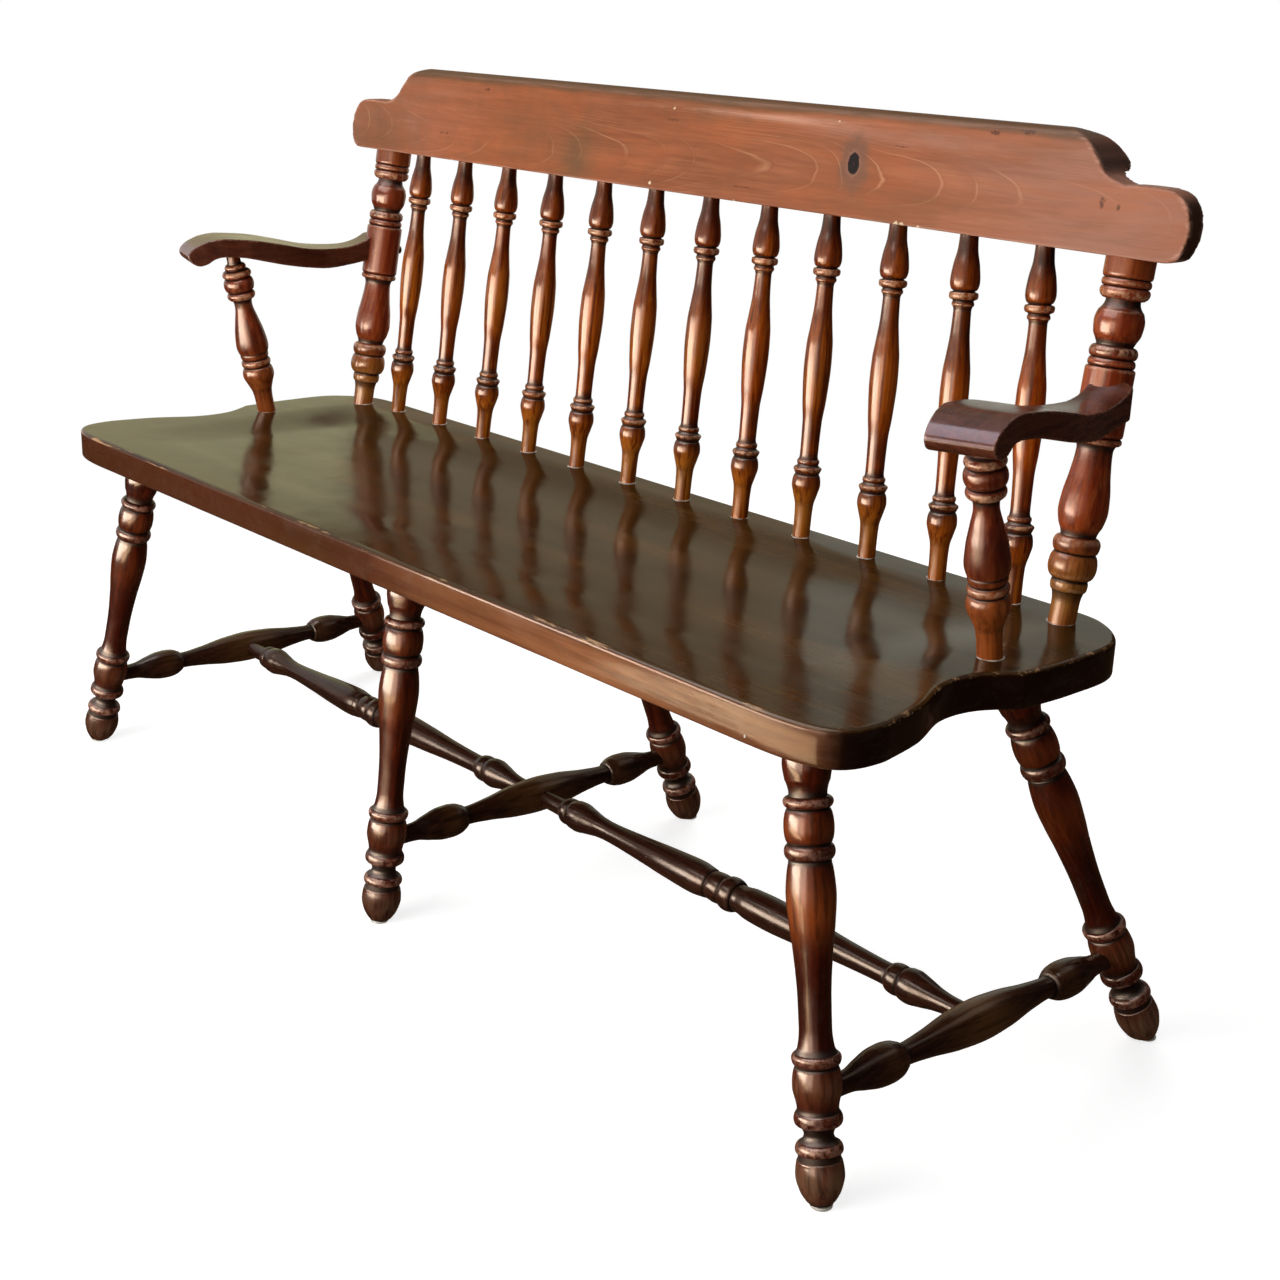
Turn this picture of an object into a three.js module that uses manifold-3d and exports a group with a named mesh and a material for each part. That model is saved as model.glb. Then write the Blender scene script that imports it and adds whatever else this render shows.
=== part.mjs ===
// A deacons bench: a long plank seat on six splayed turned legs, a back of turned spindles between
// two heavy posts under a rolled crest rail, and two sawn arms on turned arm posts.
// Millimetres. +X runs along the bench, +Y to its back and +Z up.
import * as THREE from "three";
import { mergeVertices } from "three/addons/utils/BufferGeometryUtils.js";
import Module from "manifold-3d";

// Fits between pieces
const joint_clearance = 0.3;
const cut_overrun = 12;

// Seat
const seat_height = 430;
const seat_thickness = 35;
const seat_half_length = 664;
const seat_front_reach = 405;
const seat_back_reach = 30;
const seat_edge_round = 4;

// Back: spindles stand on the line y = 0 and lean towards the crest rail
const back_height = 334;
const spindle_count = 12;
const spindle_gap_to_post_at_seat = 67.5;
const spindle_gap_to_post_at_crest = 86;
const spindle_radius = 15;
const spindle_foot_radius = 9;
const spindle_foot_depth = 18;
const spindle_tenon_radius = 6.5;
const spindle_tenon_depth = 14;
const spindle_shoulder_drop = 1;

// Posts: each has a plain barrel level with its arm
const post_inset_from_seat_end = 80;
const post_foot_forward = 11;
const post_top_in = 4;
const post_top_behind_crest = 24;
const post_radius = 22.8;
const post_barrel_below_arm = 8;
const post_barrel_length = 56.5;
const post_foot_radius = 12.8;
const post_foot_depth = 22;
const post_tongue_length = 20;
const post_tongue_width = 26;
const post_tongue_thickness = 11;

// Crest rail
const crest_reach_past_post = 70;
const crest_height = 106;
const crest_thickness = 22;
const crest_front_setback = 17;
const crest_lean = 12.5;
const crest_roll_depth = 57;

// Arms
const arm_height = 184;
const arm_front_reach = 245;
const arm_back_reach = 21;
const arm_nose_past_post = 49;
const arm_half_width = 36;
const arm_toe_out = THREE.MathUtils.degToRad(18);
const arm_rise = 46;

// Arm posts
const arm_post_top_in = 2;
const arm_post_splay = 4;
const arm_post_rake = 41;
const arm_post_radius = 20.6;
const arm_post_foot_radius = 11.3;
const arm_post_foot_depth = 20;
const arm_post_neck_radius = 8.3;
const arm_post_neck_depth = 12;

// Arm screws
const screw_above_arm_underside = 20;
const screw_turn_share = 0.42;
const screw_head_radius = 5.5;
const screw_head_thickness = 4.6;
const screw_spot_depth = 1.6;
const screw_shank_radius = 2.4;
const screw_length_in_arm = 20;
const screw_point_length = 5;
const screw_slot_width = 1.3;
const screw_slot_depth = 1.2;

// Legs
const leg_radius = 21.5;
const leg_tenon_radius = 12.5;
const leg_tenon_depth = 20;
const front_leg_inset_from_end = 89;
const front_leg_inset_from_front = 64;
const front_leg_splay_out = 92;
const front_leg_splay_forward = 42;
const back_leg_inset_from_end = 89.5;
const back_leg_inset_from_back = 106;
const back_leg_splay_out = 100.5;
const back_leg_splay_back = 154;

// Glides
const glide_radius = 10;
const glide_thickness = 3;
const glide_edge_round = 0.8;
const glide_nail_radius = 1.6;
const glide_nail_length = 12;

// Stretchers
const stretcher_place_share = 0.763;
const stretcher_inset = 7;
const cross_radius = 20;
const cross_end_radius = 9.8;
const medial_radius = 18.5;
const medial_end_radius = 9.6;
const medial_inset = 10;

// Facets round each turned piece
const spindle_facets = 8;
const post_facets = 12;
const leg_facets = 10;
const stretcher_facets = 10;
const small_facets = 8;
const curve_facets = 5;

// Turnings: each pair is a share of the length and a share of the radius
const spindle_turning_shares = [
  [0.06, 0.61], [0.1, 0.65], [0.14, 0.86], [0.167, 1], [0.201, 0.84], [0.216, 0.985],
  [0.232, 0.78], [0.256, 0.63], [0.361, 0.67], [0.43, 0.82], [0.5, 0.94], [0.603, 0.91],
  [0.66, 0.77], [0.723, 0.62], [0.8, 0.58], [0.824, 0.945], [0.841, 0.69], [0.87, 0.96],
  [0.91, 0.86], [0.96, 0.62],
];
const post_barrel_shares = [0.508, 0.69];
const post_turning_shares = [
  [0.04, 0.57], [0.085, 0.68], [0.101, 0.76], [0.117, 0.7], [0.152, 0.985], [0.188, 0.82],
  [0.213, 0.95], [0.233, 0.73], [0.266, 0.93], [0.301, 1], [0.343, 0.96], [0.4, 0.82],
  [0.46, 0.73], [0.486, 1], [0.498, 0.9], [0.508, 1], [0.69, 1], [0.698, 0.87],
  [0.708, 0.945], [0.723, 0.84], [0.738, 0.965], [0.755, 0.75], [0.79, 0.95], [0.822, 1],
  [0.85, 0.9], [0.878, 0.7], [0.902, 0.99], [0.914, 0.88], [0.925, 0.98], [0.938, 0.9],
  [0.947, 1], [0.985, 1],
];
const arm_post_turning_shares = [
  [0.1, 0.57], [0.155, 0.645], [0.185, 0.78], [0.244, 0.97], [0.3, 0.76], [0.322, 0.9],
  [0.345, 0.74], [0.385, 0.93], [0.43, 1], [0.52, 0.9], [0.6, 0.72], [0.68, 0.56],
  [0.72, 0.62], [0.745, 0.85], [0.773, 0.7], [0.82, 0.93], [0.858, 0.72], [0.882, 0.88],
  [0.908, 0.62], [0.94, 0.44],
];
const leg_turning_shares = [
  [0.024, 0.68], [0.035, 0.88], [0.064, 0.98], [0.1, 0.9], [0.134, 0.78], [0.1434, 1],
  [0.1575, 0.81], [0.198, 1], [0.233, 0.83], [0.247, 1.01], [0.266, 0.84], [0.3, 0.95],
  [0.341, 1], [0.4, 0.92], [0.454, 0.8], [0.56, 0.66], [0.62, 0.66], [0.668, 0.8],
  [0.68, 1], [0.7, 0.84], [0.741, 1], [0.8, 0.84], [0.812, 0.98], [0.845, 0.61],
  [0.877, 0.965], [0.899, 0.86], [0.932, 0.985], [0.964, 0.84], [0.993, 0.56], [1.03, 0.5],
];
const cross_turning_half_shares = [
  [0.08, 0.49], [0.13, 0.72], [0.175, 0.92], [0.215, 0.9], [0.245, 0.72], [0.248, 0.5],
  [0.33, 0.64], [0.42, 0.9], [0.5, 1],
];
const medial_turning_shares = [
  [0.085, 0.56], [0.095, 0.82], [0.105, 0.8], [0.125, 0.92], [0.145, 0.82], [0.18, 0.62],
  [0.28, 0.72], [0.36, 0.9], [0.42, 0.98], [0.455, 0.78], [0.475, 0.87], [0.486, 0.78],
  [0.5, 1], [0.518, 0.76], [0.55, 0.92], [0.59, 0.95], [0.66, 0.86], [0.76, 0.66],
  [0.835, 0.6], [0.852, 0.84], [0.863, 0.78], [0.88, 0.92], [0.9, 0.82], [0.93, 0.58],
];

// The screw's domed head: each pair is a share of its radius and a share of its thickness
const screw_dome_shares = [[0.5, 1], [0.85, 0.7], [1, 0.25]];

// Outlines: each pair is a share of the half length and a share of the depth from the front edge
const seat_corner_shares = [[0.85, 0], [0.985, 0], [1, 0.045], [1, 0.15]];
const seat_cove_shares = [[1, 0.15], [0.983, 0.27], [0.951, 0.39], [0.953, 0.49], [0.986, 0.58]];
const seat_lobe_shares = [[0.986, 0.58], [0.991, 0.73], [0.98, 0.885], [0.91, 0.985], [0.813, 1]];

// Crest outline: shares of the half length and of the height, from the bottom corner to the top
const crest_ear_shares = [
  [0.966, 0], [0.987, 0.045], [0.998, 0.25], [0.989, 0.46], [0.966, 0.57], [0.925, 0.592],
  [0.884, 0.585],
];
const crest_step_shares = [[0.884, 0.585], [0.853, 0.65], [0.832, 0.79], [0.808, 0.93], [0.772, 1]];

// Crest section: shares of the roll's depth and of the height
const crest_roll_shares = [
  [0.19, 0.85], [0.26, 0.96], [0.5, 1], [0.82, 0.93], [0.99, 0.81], [0.99, 0.72],
  [0.88, 0.67], [0.72, 0.66],
];

// The undercut runs into the rail's back this share of the height below the roll
const crest_neck_drop_share = 0.08;

// Arm side outline: shares of the length from the nose and of the rise above the lowest underside
const arm_top_shares = [
  [1.01, 1.04], [0.95, 0.87], [0.895, 0.7], [0.82, 0.59], [0.712, 0.575], [0.597, 0.63],
  [0.47, 0.78], [0.346, 0.915], [0.24, 0.98], [0.155, 1], [0.087, 0.93],
];
const arm_nose_shares = [
  [0.087, 0.93], [0.029, 0.77], [0, 0.565], [0.012, 0.38], [0.053, 0.265], [0.096, 0.33],
];
// The point of the arm's underside that its post carries
const arm_rest_shares = [0.231, 0.488];
const arm_under_shares = [
  [0.096, 0.33], [0.125, 0.44], [0.165, 0.5], arm_rest_shares, [0.289, 0.45], [0.385, 0.33],
  [0.481, 0.21], [0.597, 0.095], [0.715, 0.03], [0.837, 0.09], [0.95, 0.21], [1.01, 0.3],
];
// Arm plan outline: shares of the half width out from the nose's middle and of the length back
const arm_outer_shares = [
  [0.817, 0.024], [0.7, 0.11], [0.547, 0.216], [0.417, 0.44], [0.028, 0.665], [-0.306, 0.831],
  [-0.472, 0.974],
];
const arm_inner_shares = [
  [-1.139, 1], [-1.528, 0.966], [-1.472, 0.789], [-1.556, 0.609], [-1.639, 0.368],
  [-1.333, 0.152], [-0.794, -0.047],
];

const wood = { roughness: 0.32, metalness: 0 };
const finishes = {
  seat: { color: 0x33190f, roughness: 0.16, metalness: 0 },
  crest: { color: 0x7a3a1e, ...wood },
  turned: { color: 0x5a2412, ...wood },
  spindle: { color: 0x7a3d1a, ...wood },
  dark: { color: 0x24120c, ...wood },
  screw: { color: 0x3a3026, roughness: 0.4, metalness: 0.9 },
  glide: { color: 0xd8d4c8, roughness: 0.5, metalness: 0 },
};

const wasm = await Module();
wasm.setup();

const sides = [
  { name: "left", sign: -1 },
  { name: "right", sign: 1 },
];
const stations = [
  { name: "left", sign: -1 },
  { name: "middle", sign: 0 },
  { name: "right", sign: 1 },
];
const seat_underside = seat_height - seat_thickness;
const seat_depth = seat_front_reach + seat_back_reach;
const crest_underside = seat_height + back_height;
const crest_middle = crest_front_setback + crest_thickness / 2;
const post_foot_out = seat_half_length - post_inset_from_seat_end;
const post_top_out = post_foot_out - post_top_in;
const crest_half_length = post_top_out + crest_reach_past_post;
const arm_underside_low = seat_height + arm_height;
const arm_length = arm_front_reach + arm_back_reach;
const arm_nose_out = post_foot_out + arm_nose_past_post;
const x_axis = new THREE.Vector3(1, 0, 0);
const y_axis = new THREE.Vector3(0, 1, 0);
const z_axis = new THREE.Vector3(0, 0, 1);

// Turns a three.js geometry, placed by a matrix, into a solid that can be cut.
function solid_of(geometry, matrix) {
  const shell = geometry.clone().applyMatrix4(matrix);
  shell.deleteAttribute("normal");
  shell.deleteAttribute("uv");
  const merged = mergeVertices(shell);
  const corners = [];
  for (let i = 0; i < merged.index.count; i += 3) {
    const [a, b, c] = [0, 1, 2].map((k) => merged.index.getX(i + k));
    if (a !== b && b !== c && c !== a) corners.push(a, b, c);
  }
  return new wasm.Manifold(
    new wasm.Mesh({
      numProp: 3,
      vertProperties: merged.attributes.position.array,
      triVerts: new Uint32Array(corners),
    }),
  );
}

// Turns a solid back into a three.js geometry with flat faces.
function geometry_of(solid) {
  const mesh = solid.getMesh();
  const geometry = new THREE.BufferGeometry();
  geometry.setAttribute("position", new THREE.BufferAttribute(mesh.vertProperties, 3));
  geometry.setIndex(new THREE.BufferAttribute(mesh.triVerts, 1));
  const flat = geometry.toNonIndexed();
  flat.computeVertexNormals();
  return flat;
}

// Combines a mesh with tools placed in the same space, and keeps the mesh's own place.
function combine(mesh, tools, action) {
  mesh.updateMatrix();
  const to_mesh = mesh.matrix.clone().invert();
  let body = solid_of(mesh.geometry, new THREE.Matrix4());
  for (const tool of tools) {
    tool.updateMatrix();
    body = body[action](solid_of(tool.geometry, to_mesh.clone().multiply(tool.matrix)));
  }
  mesh.geometry = geometry_of(body);
  return mesh;
}

function piece(name, geometry, finish) {
  const mesh = new THREE.Mesh(geometry, new THREE.MeshStandardMaterial(finishes[finish]));
  mesh.name = name;
  return mesh;
}

// Places a mesh so that its own +Y runs from one point to another.
function lay_between(mesh, from, to) {
  const along = to.clone().sub(from).normalize();
  const side = Math.abs(along.z) > Math.abs(along.y) ? y_axis : z_axis;
  const across = along.clone().cross(side).normalize();
  const basis = new THREE.Matrix4().makeBasis(across, along, across.clone().cross(along));
  mesh.quaternion.setFromRotationMatrix(basis);
  mesh.position.copy(from);
  return mesh;
}

// A turned solid about +Y: points of radius and height, closed on the axis at both ends.
function turned(points, facets) {
  const first = points[0];
  const last = points[points.length - 1];
  const profile = [[0, first[1]], ...points, [0, last[1]]];
  return new THREE.LatheGeometry(profile.map(([r, h]) => new THREE.Vector2(r, h)), facets);
}

function turning(shares, length, radius) {
  return shares.map(([along, out]) => [out * radius, along * length]);
}

// A bore for a turned end of the same facets, with the clearance measured across its flats.
function bore_tool(radius, from, to, facets) {
  const wide = radius + joint_clearance / Math.cos(Math.PI / facets);
  return new THREE.Mesh(turned([[wide, from], [wide, to]], facets));
}

function extrude_along(shape, depth, right, up) {
  const out = right.clone().cross(up);
  const geometry = new THREE.ExtrudeGeometry(shape, {
    depth,
    bevelEnabled: false,
    curveSegments: curve_facets,
  });
  return geometry.applyMatrix4(new THREE.Matrix4().makeBasis(right, up, out));
}

function curve_through(points, steps) {
  return new THREE.SplineCurve(points).getPoints(steps);
}

function tool_box(width, depth, height, centre) {
  const box = new THREE.Mesh(new THREE.BoxGeometry(width, depth, height));
  box.position.copy(centre);
  return box;
}

// Axis ends of the pieces that others meet
function post_axis(sign) {
  return [
    new THREE.Vector3(sign * post_foot_out, -post_foot_forward, seat_height),
    new THREE.Vector3(
      sign * post_top_out,
      crest_front_setback + post_top_behind_crest,
      crest_underside,
    ),
  ];
}

function spindle_axis(index) {
  const along = index / (spindle_count - 1);
  const at_seat = post_foot_out - spindle_gap_to_post_at_seat;
  const at_crest = post_top_out - spindle_gap_to_post_at_crest;
  return [
    new THREE.Vector3(THREE.MathUtils.lerp(-at_seat, at_seat, along), 0, seat_height),
    new THREE.Vector3(THREE.MathUtils.lerp(-at_crest, at_crest, along), crest_middle, crest_underside),
  ];
}

// A point of the arm's side outline: how far back from the nose it is and how high.
function arm_side_at([back, up]) {
  return new THREE.Vector2(back * arm_length, arm_underside_low + up * arm_rise);
}

// The way an arm runs from its nose to the back: the two arms spread towards the front.
function arm_way(sign) {
  return y_axis.clone().applyAxisAngle(z_axis, sign * arm_toe_out);
}

function arm_nose(sign, height) {
  return new THREE.Vector3(sign * arm_nose_out, -arm_front_reach, height);
}

function arm_post_axis(sign) {
  const rest = arm_side_at(arm_rest_shares);
  const way = arm_way(sign);
  const inwards = new THREE.Vector3().crossVectors(z_axis, way).multiplyScalar(sign);
  const top = arm_nose(sign, rest.y)
    .addScaledVector(way, rest.x)
    .addScaledVector(inwards, arm_post_top_in);
  const foot = new THREE.Vector3(top.x - sign * arm_post_splay, top.y + arm_post_rake, seat_height);
  return [foot, top];
}

function leg_axis(sign, top_out, top_back, splay_out, splay_back) {
  return [
    new THREE.Vector3(sign * top_out, top_back, seat_underside),
    new THREE.Vector3(sign * (top_out + splay_out), top_back + splay_back, 0),
  ];
}

const leg_rows = [
  {
    name: "front",
    axis: (sign) =>
      leg_axis(
        sign,
        seat_half_length - front_leg_inset_from_end,
        front_leg_inset_from_front - seat_front_reach,
        front_leg_splay_out,
        -front_leg_splay_forward,
      ),
  },
  {
    name: "back",
    axis: (sign) =>
      leg_axis(
        sign,
        seat_half_length - back_leg_inset_from_end,
        seat_back_reach - back_leg_inset_from_back,
        back_leg_splay_out,
        back_leg_splay_back,
      ),
  },
];

function cross_axis(sign) {
  return leg_rows.map(({ axis }) => {
    const [top, foot] = axis(sign);
    return top.lerp(foot, stretcher_place_share);
  });
}

function cross_middle(sign) {
  const [front, back] = cross_axis(sign);
  return front.lerp(back, 1 / 2);
}

function medial_axis(sign) {
  return sign < 0 ? [cross_middle(-1), cross_middle(0)] : [cross_middle(0), cross_middle(1)];
}

function screw_axis(sign) {
  const [foot, top] = post_axis(sign);
  const centre = foot.clone().lerp(top, (arm_height + screw_above_arm_underside) / back_height);
  const towards_arm = new THREE.Vector3(sign * screw_turn_share, -1, 0).normalize();
  return [centre, towards_arm];
}

function spindle(index) {
  const [foot, top] = spindle_axis(index);
  const length = foot.distanceTo(top);
  const shoulder = length - spindle_shoulder_drop;
  const neck = spindle_turning_shares[spindle_turning_shares.length - 1][1] * spindle_radius;
  const points = [
    [spindle_foot_radius, -spindle_foot_depth],
    [spindle_foot_radius, 0],
    ...turning(spindle_turning_shares, length, spindle_radius),
    [neck, shoulder],
    [spindle_tenon_radius, shoulder],
    [spindle_tenon_radius, length + spindle_tenon_depth],
  ];
  const name = `spindle_${String(index + 1).padStart(2, "0")}`;
  return lay_between(piece(name, turned(points, spindle_facets), "spindle"), foot, top);
}

function spindle_foot_bore(index) {
  const tool = bore_tool(
    spindle_foot_radius,
    -spindle_foot_depth - joint_clearance,
    cut_overrun,
    spindle_facets,
  );
  return lay_between(tool, ...spindle_axis(index));
}

function spindle_top_bore(index) {
  const [foot, top] = spindle_axis(index);
  const length = foot.distanceTo(top);
  const tool = bore_tool(
    spindle_tenon_radius,
    length - cut_overrun,
    length + spindle_tenon_depth + joint_clearance,
    spindle_facets,
  );
  return lay_between(tool, foot, top);
}

// The tongue that the crest rail's mortise takes: it stands straight up, inside the rail.
function post_tongue(sign, clearance) {
  const middle = crest_middle + crest_lean * post_tongue_share();
  const root = crest_underside - cut_overrun;
  const tip = crest_underside + post_tongue_length + clearance;
  return tool_box(
    post_tongue_width + 2 * clearance,
    post_tongue_thickness + 2 * clearance,
    tip - root,
    new THREE.Vector3(sign * post_top_out, middle, (tip + root) / 2),
  );
}

function post_tongue_share() {
  return post_tongue_length / 2 / crest_height;
}

function screw_bore(sign) {
  const [centre, towards_arm] = screw_axis(sign);
  const tool = bore_tool(
    screw_shank_radius,
    -post_radius - cut_overrun,
    post_radius + screw_length_in_arm + joint_clearance,
    small_facets,
  );
  return lay_between(tool, centre, centre.clone().add(towards_arm));
}

// The flat spot in the post that the screw's head draws down on.
function screw_spot(sign) {
  const [centre, towards_arm] = screw_axis(sign);
  const tool = bore_tool(
    screw_head_radius,
    -post_radius - cut_overrun,
    -post_radius + screw_spot_depth,
    small_facets,
  );
  return lay_between(tool, centre, centre.clone().add(towards_arm));
}

// How far up a post a share of its turning lies: the barrel keeps level with the arm, and the
// turnings below and above it fill the rest.
function post_place(share, length) {
  const [foot_share, top_share] = post_barrel_shares;
  const barrel_foot = ((arm_height - post_barrel_below_arm) / back_height) * length;
  const barrel_top = barrel_foot + (post_barrel_length / back_height) * length;
  if (share <= foot_share) return (share / foot_share) * barrel_foot;
  if (share >= top_share) {
    return length - ((1 - share) / (1 - top_share)) * (length - barrel_top);
  }
  const along = (share - foot_share) / (top_share - foot_share);
  return barrel_foot + along * (barrel_top - barrel_foot);
}

function post({ name, sign }) {
  const [foot, top] = post_axis(sign);
  const length = foot.distanceTo(top);
  const points = [
    [post_foot_radius, -post_foot_depth],
    [post_foot_radius, 0],
    ...post_turning_shares.map(([along, out]) => [out * post_radius, post_place(along, length)]),
    [post_radius, length + cut_overrun],
  ];
  const body = lay_between(piece(`post_${name}`, turned(points, post_facets), "turned"), foot, top);
  const above = tool_box(
    post_radius * 4,
    post_radius * 4,
    cut_overrun * 4,
    new THREE.Vector3(top.x, top.y, crest_underside - joint_clearance + cut_overrun * 2),
  );
  combine(body, [above], "subtract");
  combine(body, [post_tongue(sign, 0)], "add");
  return combine(body, [screw_bore(sign), screw_spot(sign)], "subtract");
}

function post_foot_bore(sign) {
  const tool = bore_tool(
    post_foot_radius,
    -post_foot_depth - joint_clearance,
    cut_overrun,
    post_facets,
  );
  return lay_between(tool, ...post_axis(sign));
}

function arm_post({ name, sign }) {
  const [foot, top] = arm_post_axis(sign);
  const length = foot.distanceTo(top);
  const points = [
    [arm_post_foot_radius, -arm_post_foot_depth],
    [arm_post_foot_radius, 0],
    ...turning(arm_post_turning_shares, length, arm_post_radius),
    [arm_post_neck_radius, length - arm_post_neck_radius],
    [arm_post_neck_radius, length + arm_post_neck_depth],
  ];
  return lay_between(piece(`arm_post_${name}`, turned(points, post_facets), "turned"), foot, top);
}

function arm_post_foot_bore(sign) {
  const tool = bore_tool(
    arm_post_foot_radius,
    -arm_post_foot_depth - joint_clearance,
    cut_overrun,
    post_facets,
  );
  return lay_between(tool, ...arm_post_axis(sign));
}

function arm_post_neck_bore(sign) {
  const [foot, top] = arm_post_axis(sign);
  const length = foot.distanceTo(top);
  const tool = bore_tool(
    arm_post_neck_radius,
    length - cut_overrun,
    length + arm_post_neck_depth + joint_clearance,
    post_facets,
  );
  return lay_between(tool, foot, top);
}

function leg_tenon_bore(axis) {
  const tool = bore_tool(
    leg_tenon_radius,
    -leg_tenon_depth - joint_clearance,
    cut_overrun,
    leg_facets,
  );
  return lay_between(tool, ...axis);
}

// The seat: its two ends mirror each other, with a cove ahead of each rear lobe.
function seat_outline() {
  const half = (sign) => {
    const at = ([out, back]) =>
      new THREE.Vector2(sign * out * seat_half_length, back * seat_depth - seat_front_reach);
    const [start, lead_in, lead_out, nose] = seat_corner_shares.map(at);
    const corner = new THREE.CubicBezierCurve(start, lead_in, lead_out, nose);
    return [
      ...corner.getPoints(curve_facets * 2),
      ...curve_through(seat_cove_shares.map(at), curve_facets * 2).slice(1),
      ...curve_through(seat_lobe_shares.map(at), curve_facets * 2).slice(1),
    ];
  };
  return new THREE.Shape([...half(1), ...half(-1).reverse()]);
}

function seat() {
  const plank = new THREE.ExtrudeGeometry(seat_outline(), {
    depth: seat_thickness - 2 * seat_edge_round,
    bevelThickness: seat_edge_round,
    bevelSize: seat_edge_round,
    bevelOffset: -seat_edge_round,
    bevelSegments: 2,
  });
  plank.translate(0, 0, seat_edge_round);
  const body = piece("seat", plank, "seat");
  body.position.z = seat_underside;
  const bores = Array.from({ length: spindle_count }, (_, index) => spindle_foot_bore(index));
  for (const { sign } of sides) bores.push(post_foot_bore(sign), arm_post_foot_bore(sign));
  for (const row of leg_rows) {
    for (const { sign } of stations) bores.push(leg_tenon_bore(row.axis(sign)));
  }
  return combine(body, bores, "subtract");
}

// The crest rail: a rolled section run along the bench, sawn to the outline of its stepped ends.
function crest_section() {
  const lean_at = (share) => crest_front_setback + crest_lean * share;
  const run_under = -cut_overrun / crest_height;
  const at = ([back, up]) =>
    new THREE.Vector2(
      crest_front_setback + back * crest_roll_depth,
      crest_underside + up * crest_height,
    );
  const front_foot = new THREE.Vector2(lean_at(run_under), crest_underside - cut_overrun);
  const back_foot = front_foot.clone().add(new THREE.Vector2(crest_thickness, 0));
  const roll = curve_through(crest_roll_shares.map(at), curve_facets * 3);
  const undercut_share = crest_roll_shares[crest_roll_shares.length - 1][1];
  const neck = new THREE.Vector2(
    lean_at(undercut_share) + crest_thickness,
    crest_underside + (undercut_share - crest_neck_drop_share) * crest_height,
  );
  return new THREE.Shape([front_foot, back_foot, neck, ...roll.reverse()]);
}

function crest_outline() {
  const half = (sign) => {
    const at = ([out, up]) =>
      new THREE.Vector2(sign * out * crest_half_length, crest_underside + up * crest_height);
    const top = crest_step_shares[crest_step_shares.length - 1];
    return [
      ...curve_through(crest_ear_shares.map(at), curve_facets * 2),
      ...curve_through(crest_step_shares.map(at), curve_facets * 2).slice(1),
      at(top).add(new THREE.Vector2(0, cut_overrun)),
    ];
  };
  return new THREE.Shape([...half(1), ...half(-1).reverse()]);
}

function crest_rail() {
  const length = crest_half_length * 2 + cut_overrun * 2;
  const run = extrude_along(crest_section(), length, y_axis, z_axis);
  run.translate(-length / 2, 0, 0);
  const body = piece("crest_rail", run, "crest");
  const depth = crest_roll_depth + cut_overrun * 4;
  const sawn = extrude_along(crest_outline(), depth, x_axis, z_axis);
  sawn.translate(0, crest_front_setback + crest_roll_depth + cut_overrun * 2, 0);
  combine(body, [new THREE.Mesh(sawn)], "intersect");
  const bores = Array.from({ length: spindle_count }, (_, index) => spindle_top_bore(index));
  for (const { sign } of sides) bores.push(post_tongue(sign, joint_clearance));
  return combine(body, bores, "subtract");
}

// An arm: its side profile and its plan are sawn from one blank, and its rear end is coped
// round the post.
function arm({ name, sign }) {
  const plan_at = ([out, back]) =>
    new THREE.Vector2(
      sign * (arm_nose_out + out * arm_half_width),
      back * arm_length - arm_front_reach,
    );
  const profile = new THREE.Shape([
    ...curve_through(arm_top_shares.map(arm_side_at), curve_facets * 3),
    ...curve_through(arm_nose_shares.map(arm_side_at), curve_facets * 2).slice(1),
    ...curve_through(arm_under_shares.map(arm_side_at), curve_facets * 3).slice(1),
  ]);
  const plan = new THREE.Shape([
    ...curve_through(arm_outer_shares.map(plan_at), curve_facets * 3),
    ...curve_through(arm_inner_shares.map(plan_at), curve_facets * 3),
  ]);
  const width = arm_half_width * 4;
  const way = arm_way(sign);
  const across = new THREE.Vector3().crossVectors(way, z_axis);
  const start = arm_nose(sign, 0).addScaledVector(across, -width / 2);
  const blank = extrude_along(profile, width, way, z_axis);
  blank.translate(start.x, start.y, 0);
  const body = piece(`arm_${name}`, blank, "dark");
  const height = arm_rise + cut_overrun * 2;
  const sawn = extrude_along(plan, height, x_axis, y_axis);
  sawn.translate(0, 0, arm_underside_low - cut_overrun);
  combine(body, [new THREE.Mesh(sawn)], "intersect");
  const [foot, top] = post_axis(sign);
  const reach = foot.distanceTo(top);
  const cope = lay_between(bore_tool(post_radius, reach / 3, reach, post_facets), foot, top);
  return combine(body, [cope, arm_post_neck_bore(sign), screw_bore(sign)], "subtract");
}

function arm_screw({ name, sign }) {
  const [centre, towards_arm] = screw_axis(sign);
  const seat_at = -post_radius + screw_spot_depth - joint_clearance;
  const tip = post_radius + screw_length_in_arm;
  const dome = screw_dome_shares.map(([out, up]) => [
    out * screw_head_radius,
    seat_at - up * screw_head_thickness,
  ]);
  const points = [
    ...dome,
    [screw_head_radius, seat_at],
    [screw_shank_radius, seat_at],
    [screw_shank_radius, tip - screw_point_length],
    [screw_shank_radius / 4, tip],
  ];
  const body = piece(`arm_screw_${name}`, turned(points, small_facets), "screw");
  lay_between(body, centre, centre.clone().add(towards_arm));
  const slot = new THREE.Mesh(
    new THREE.BoxGeometry(screw_slot_width, screw_slot_depth * 2, screw_head_radius * 3),
  );
  slot.quaternion.copy(body.quaternion);
  slot.position.copy(centre).addScaledVector(towards_arm, seat_at - screw_head_thickness);
  return combine(body, [slot], "subtract");
}

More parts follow.
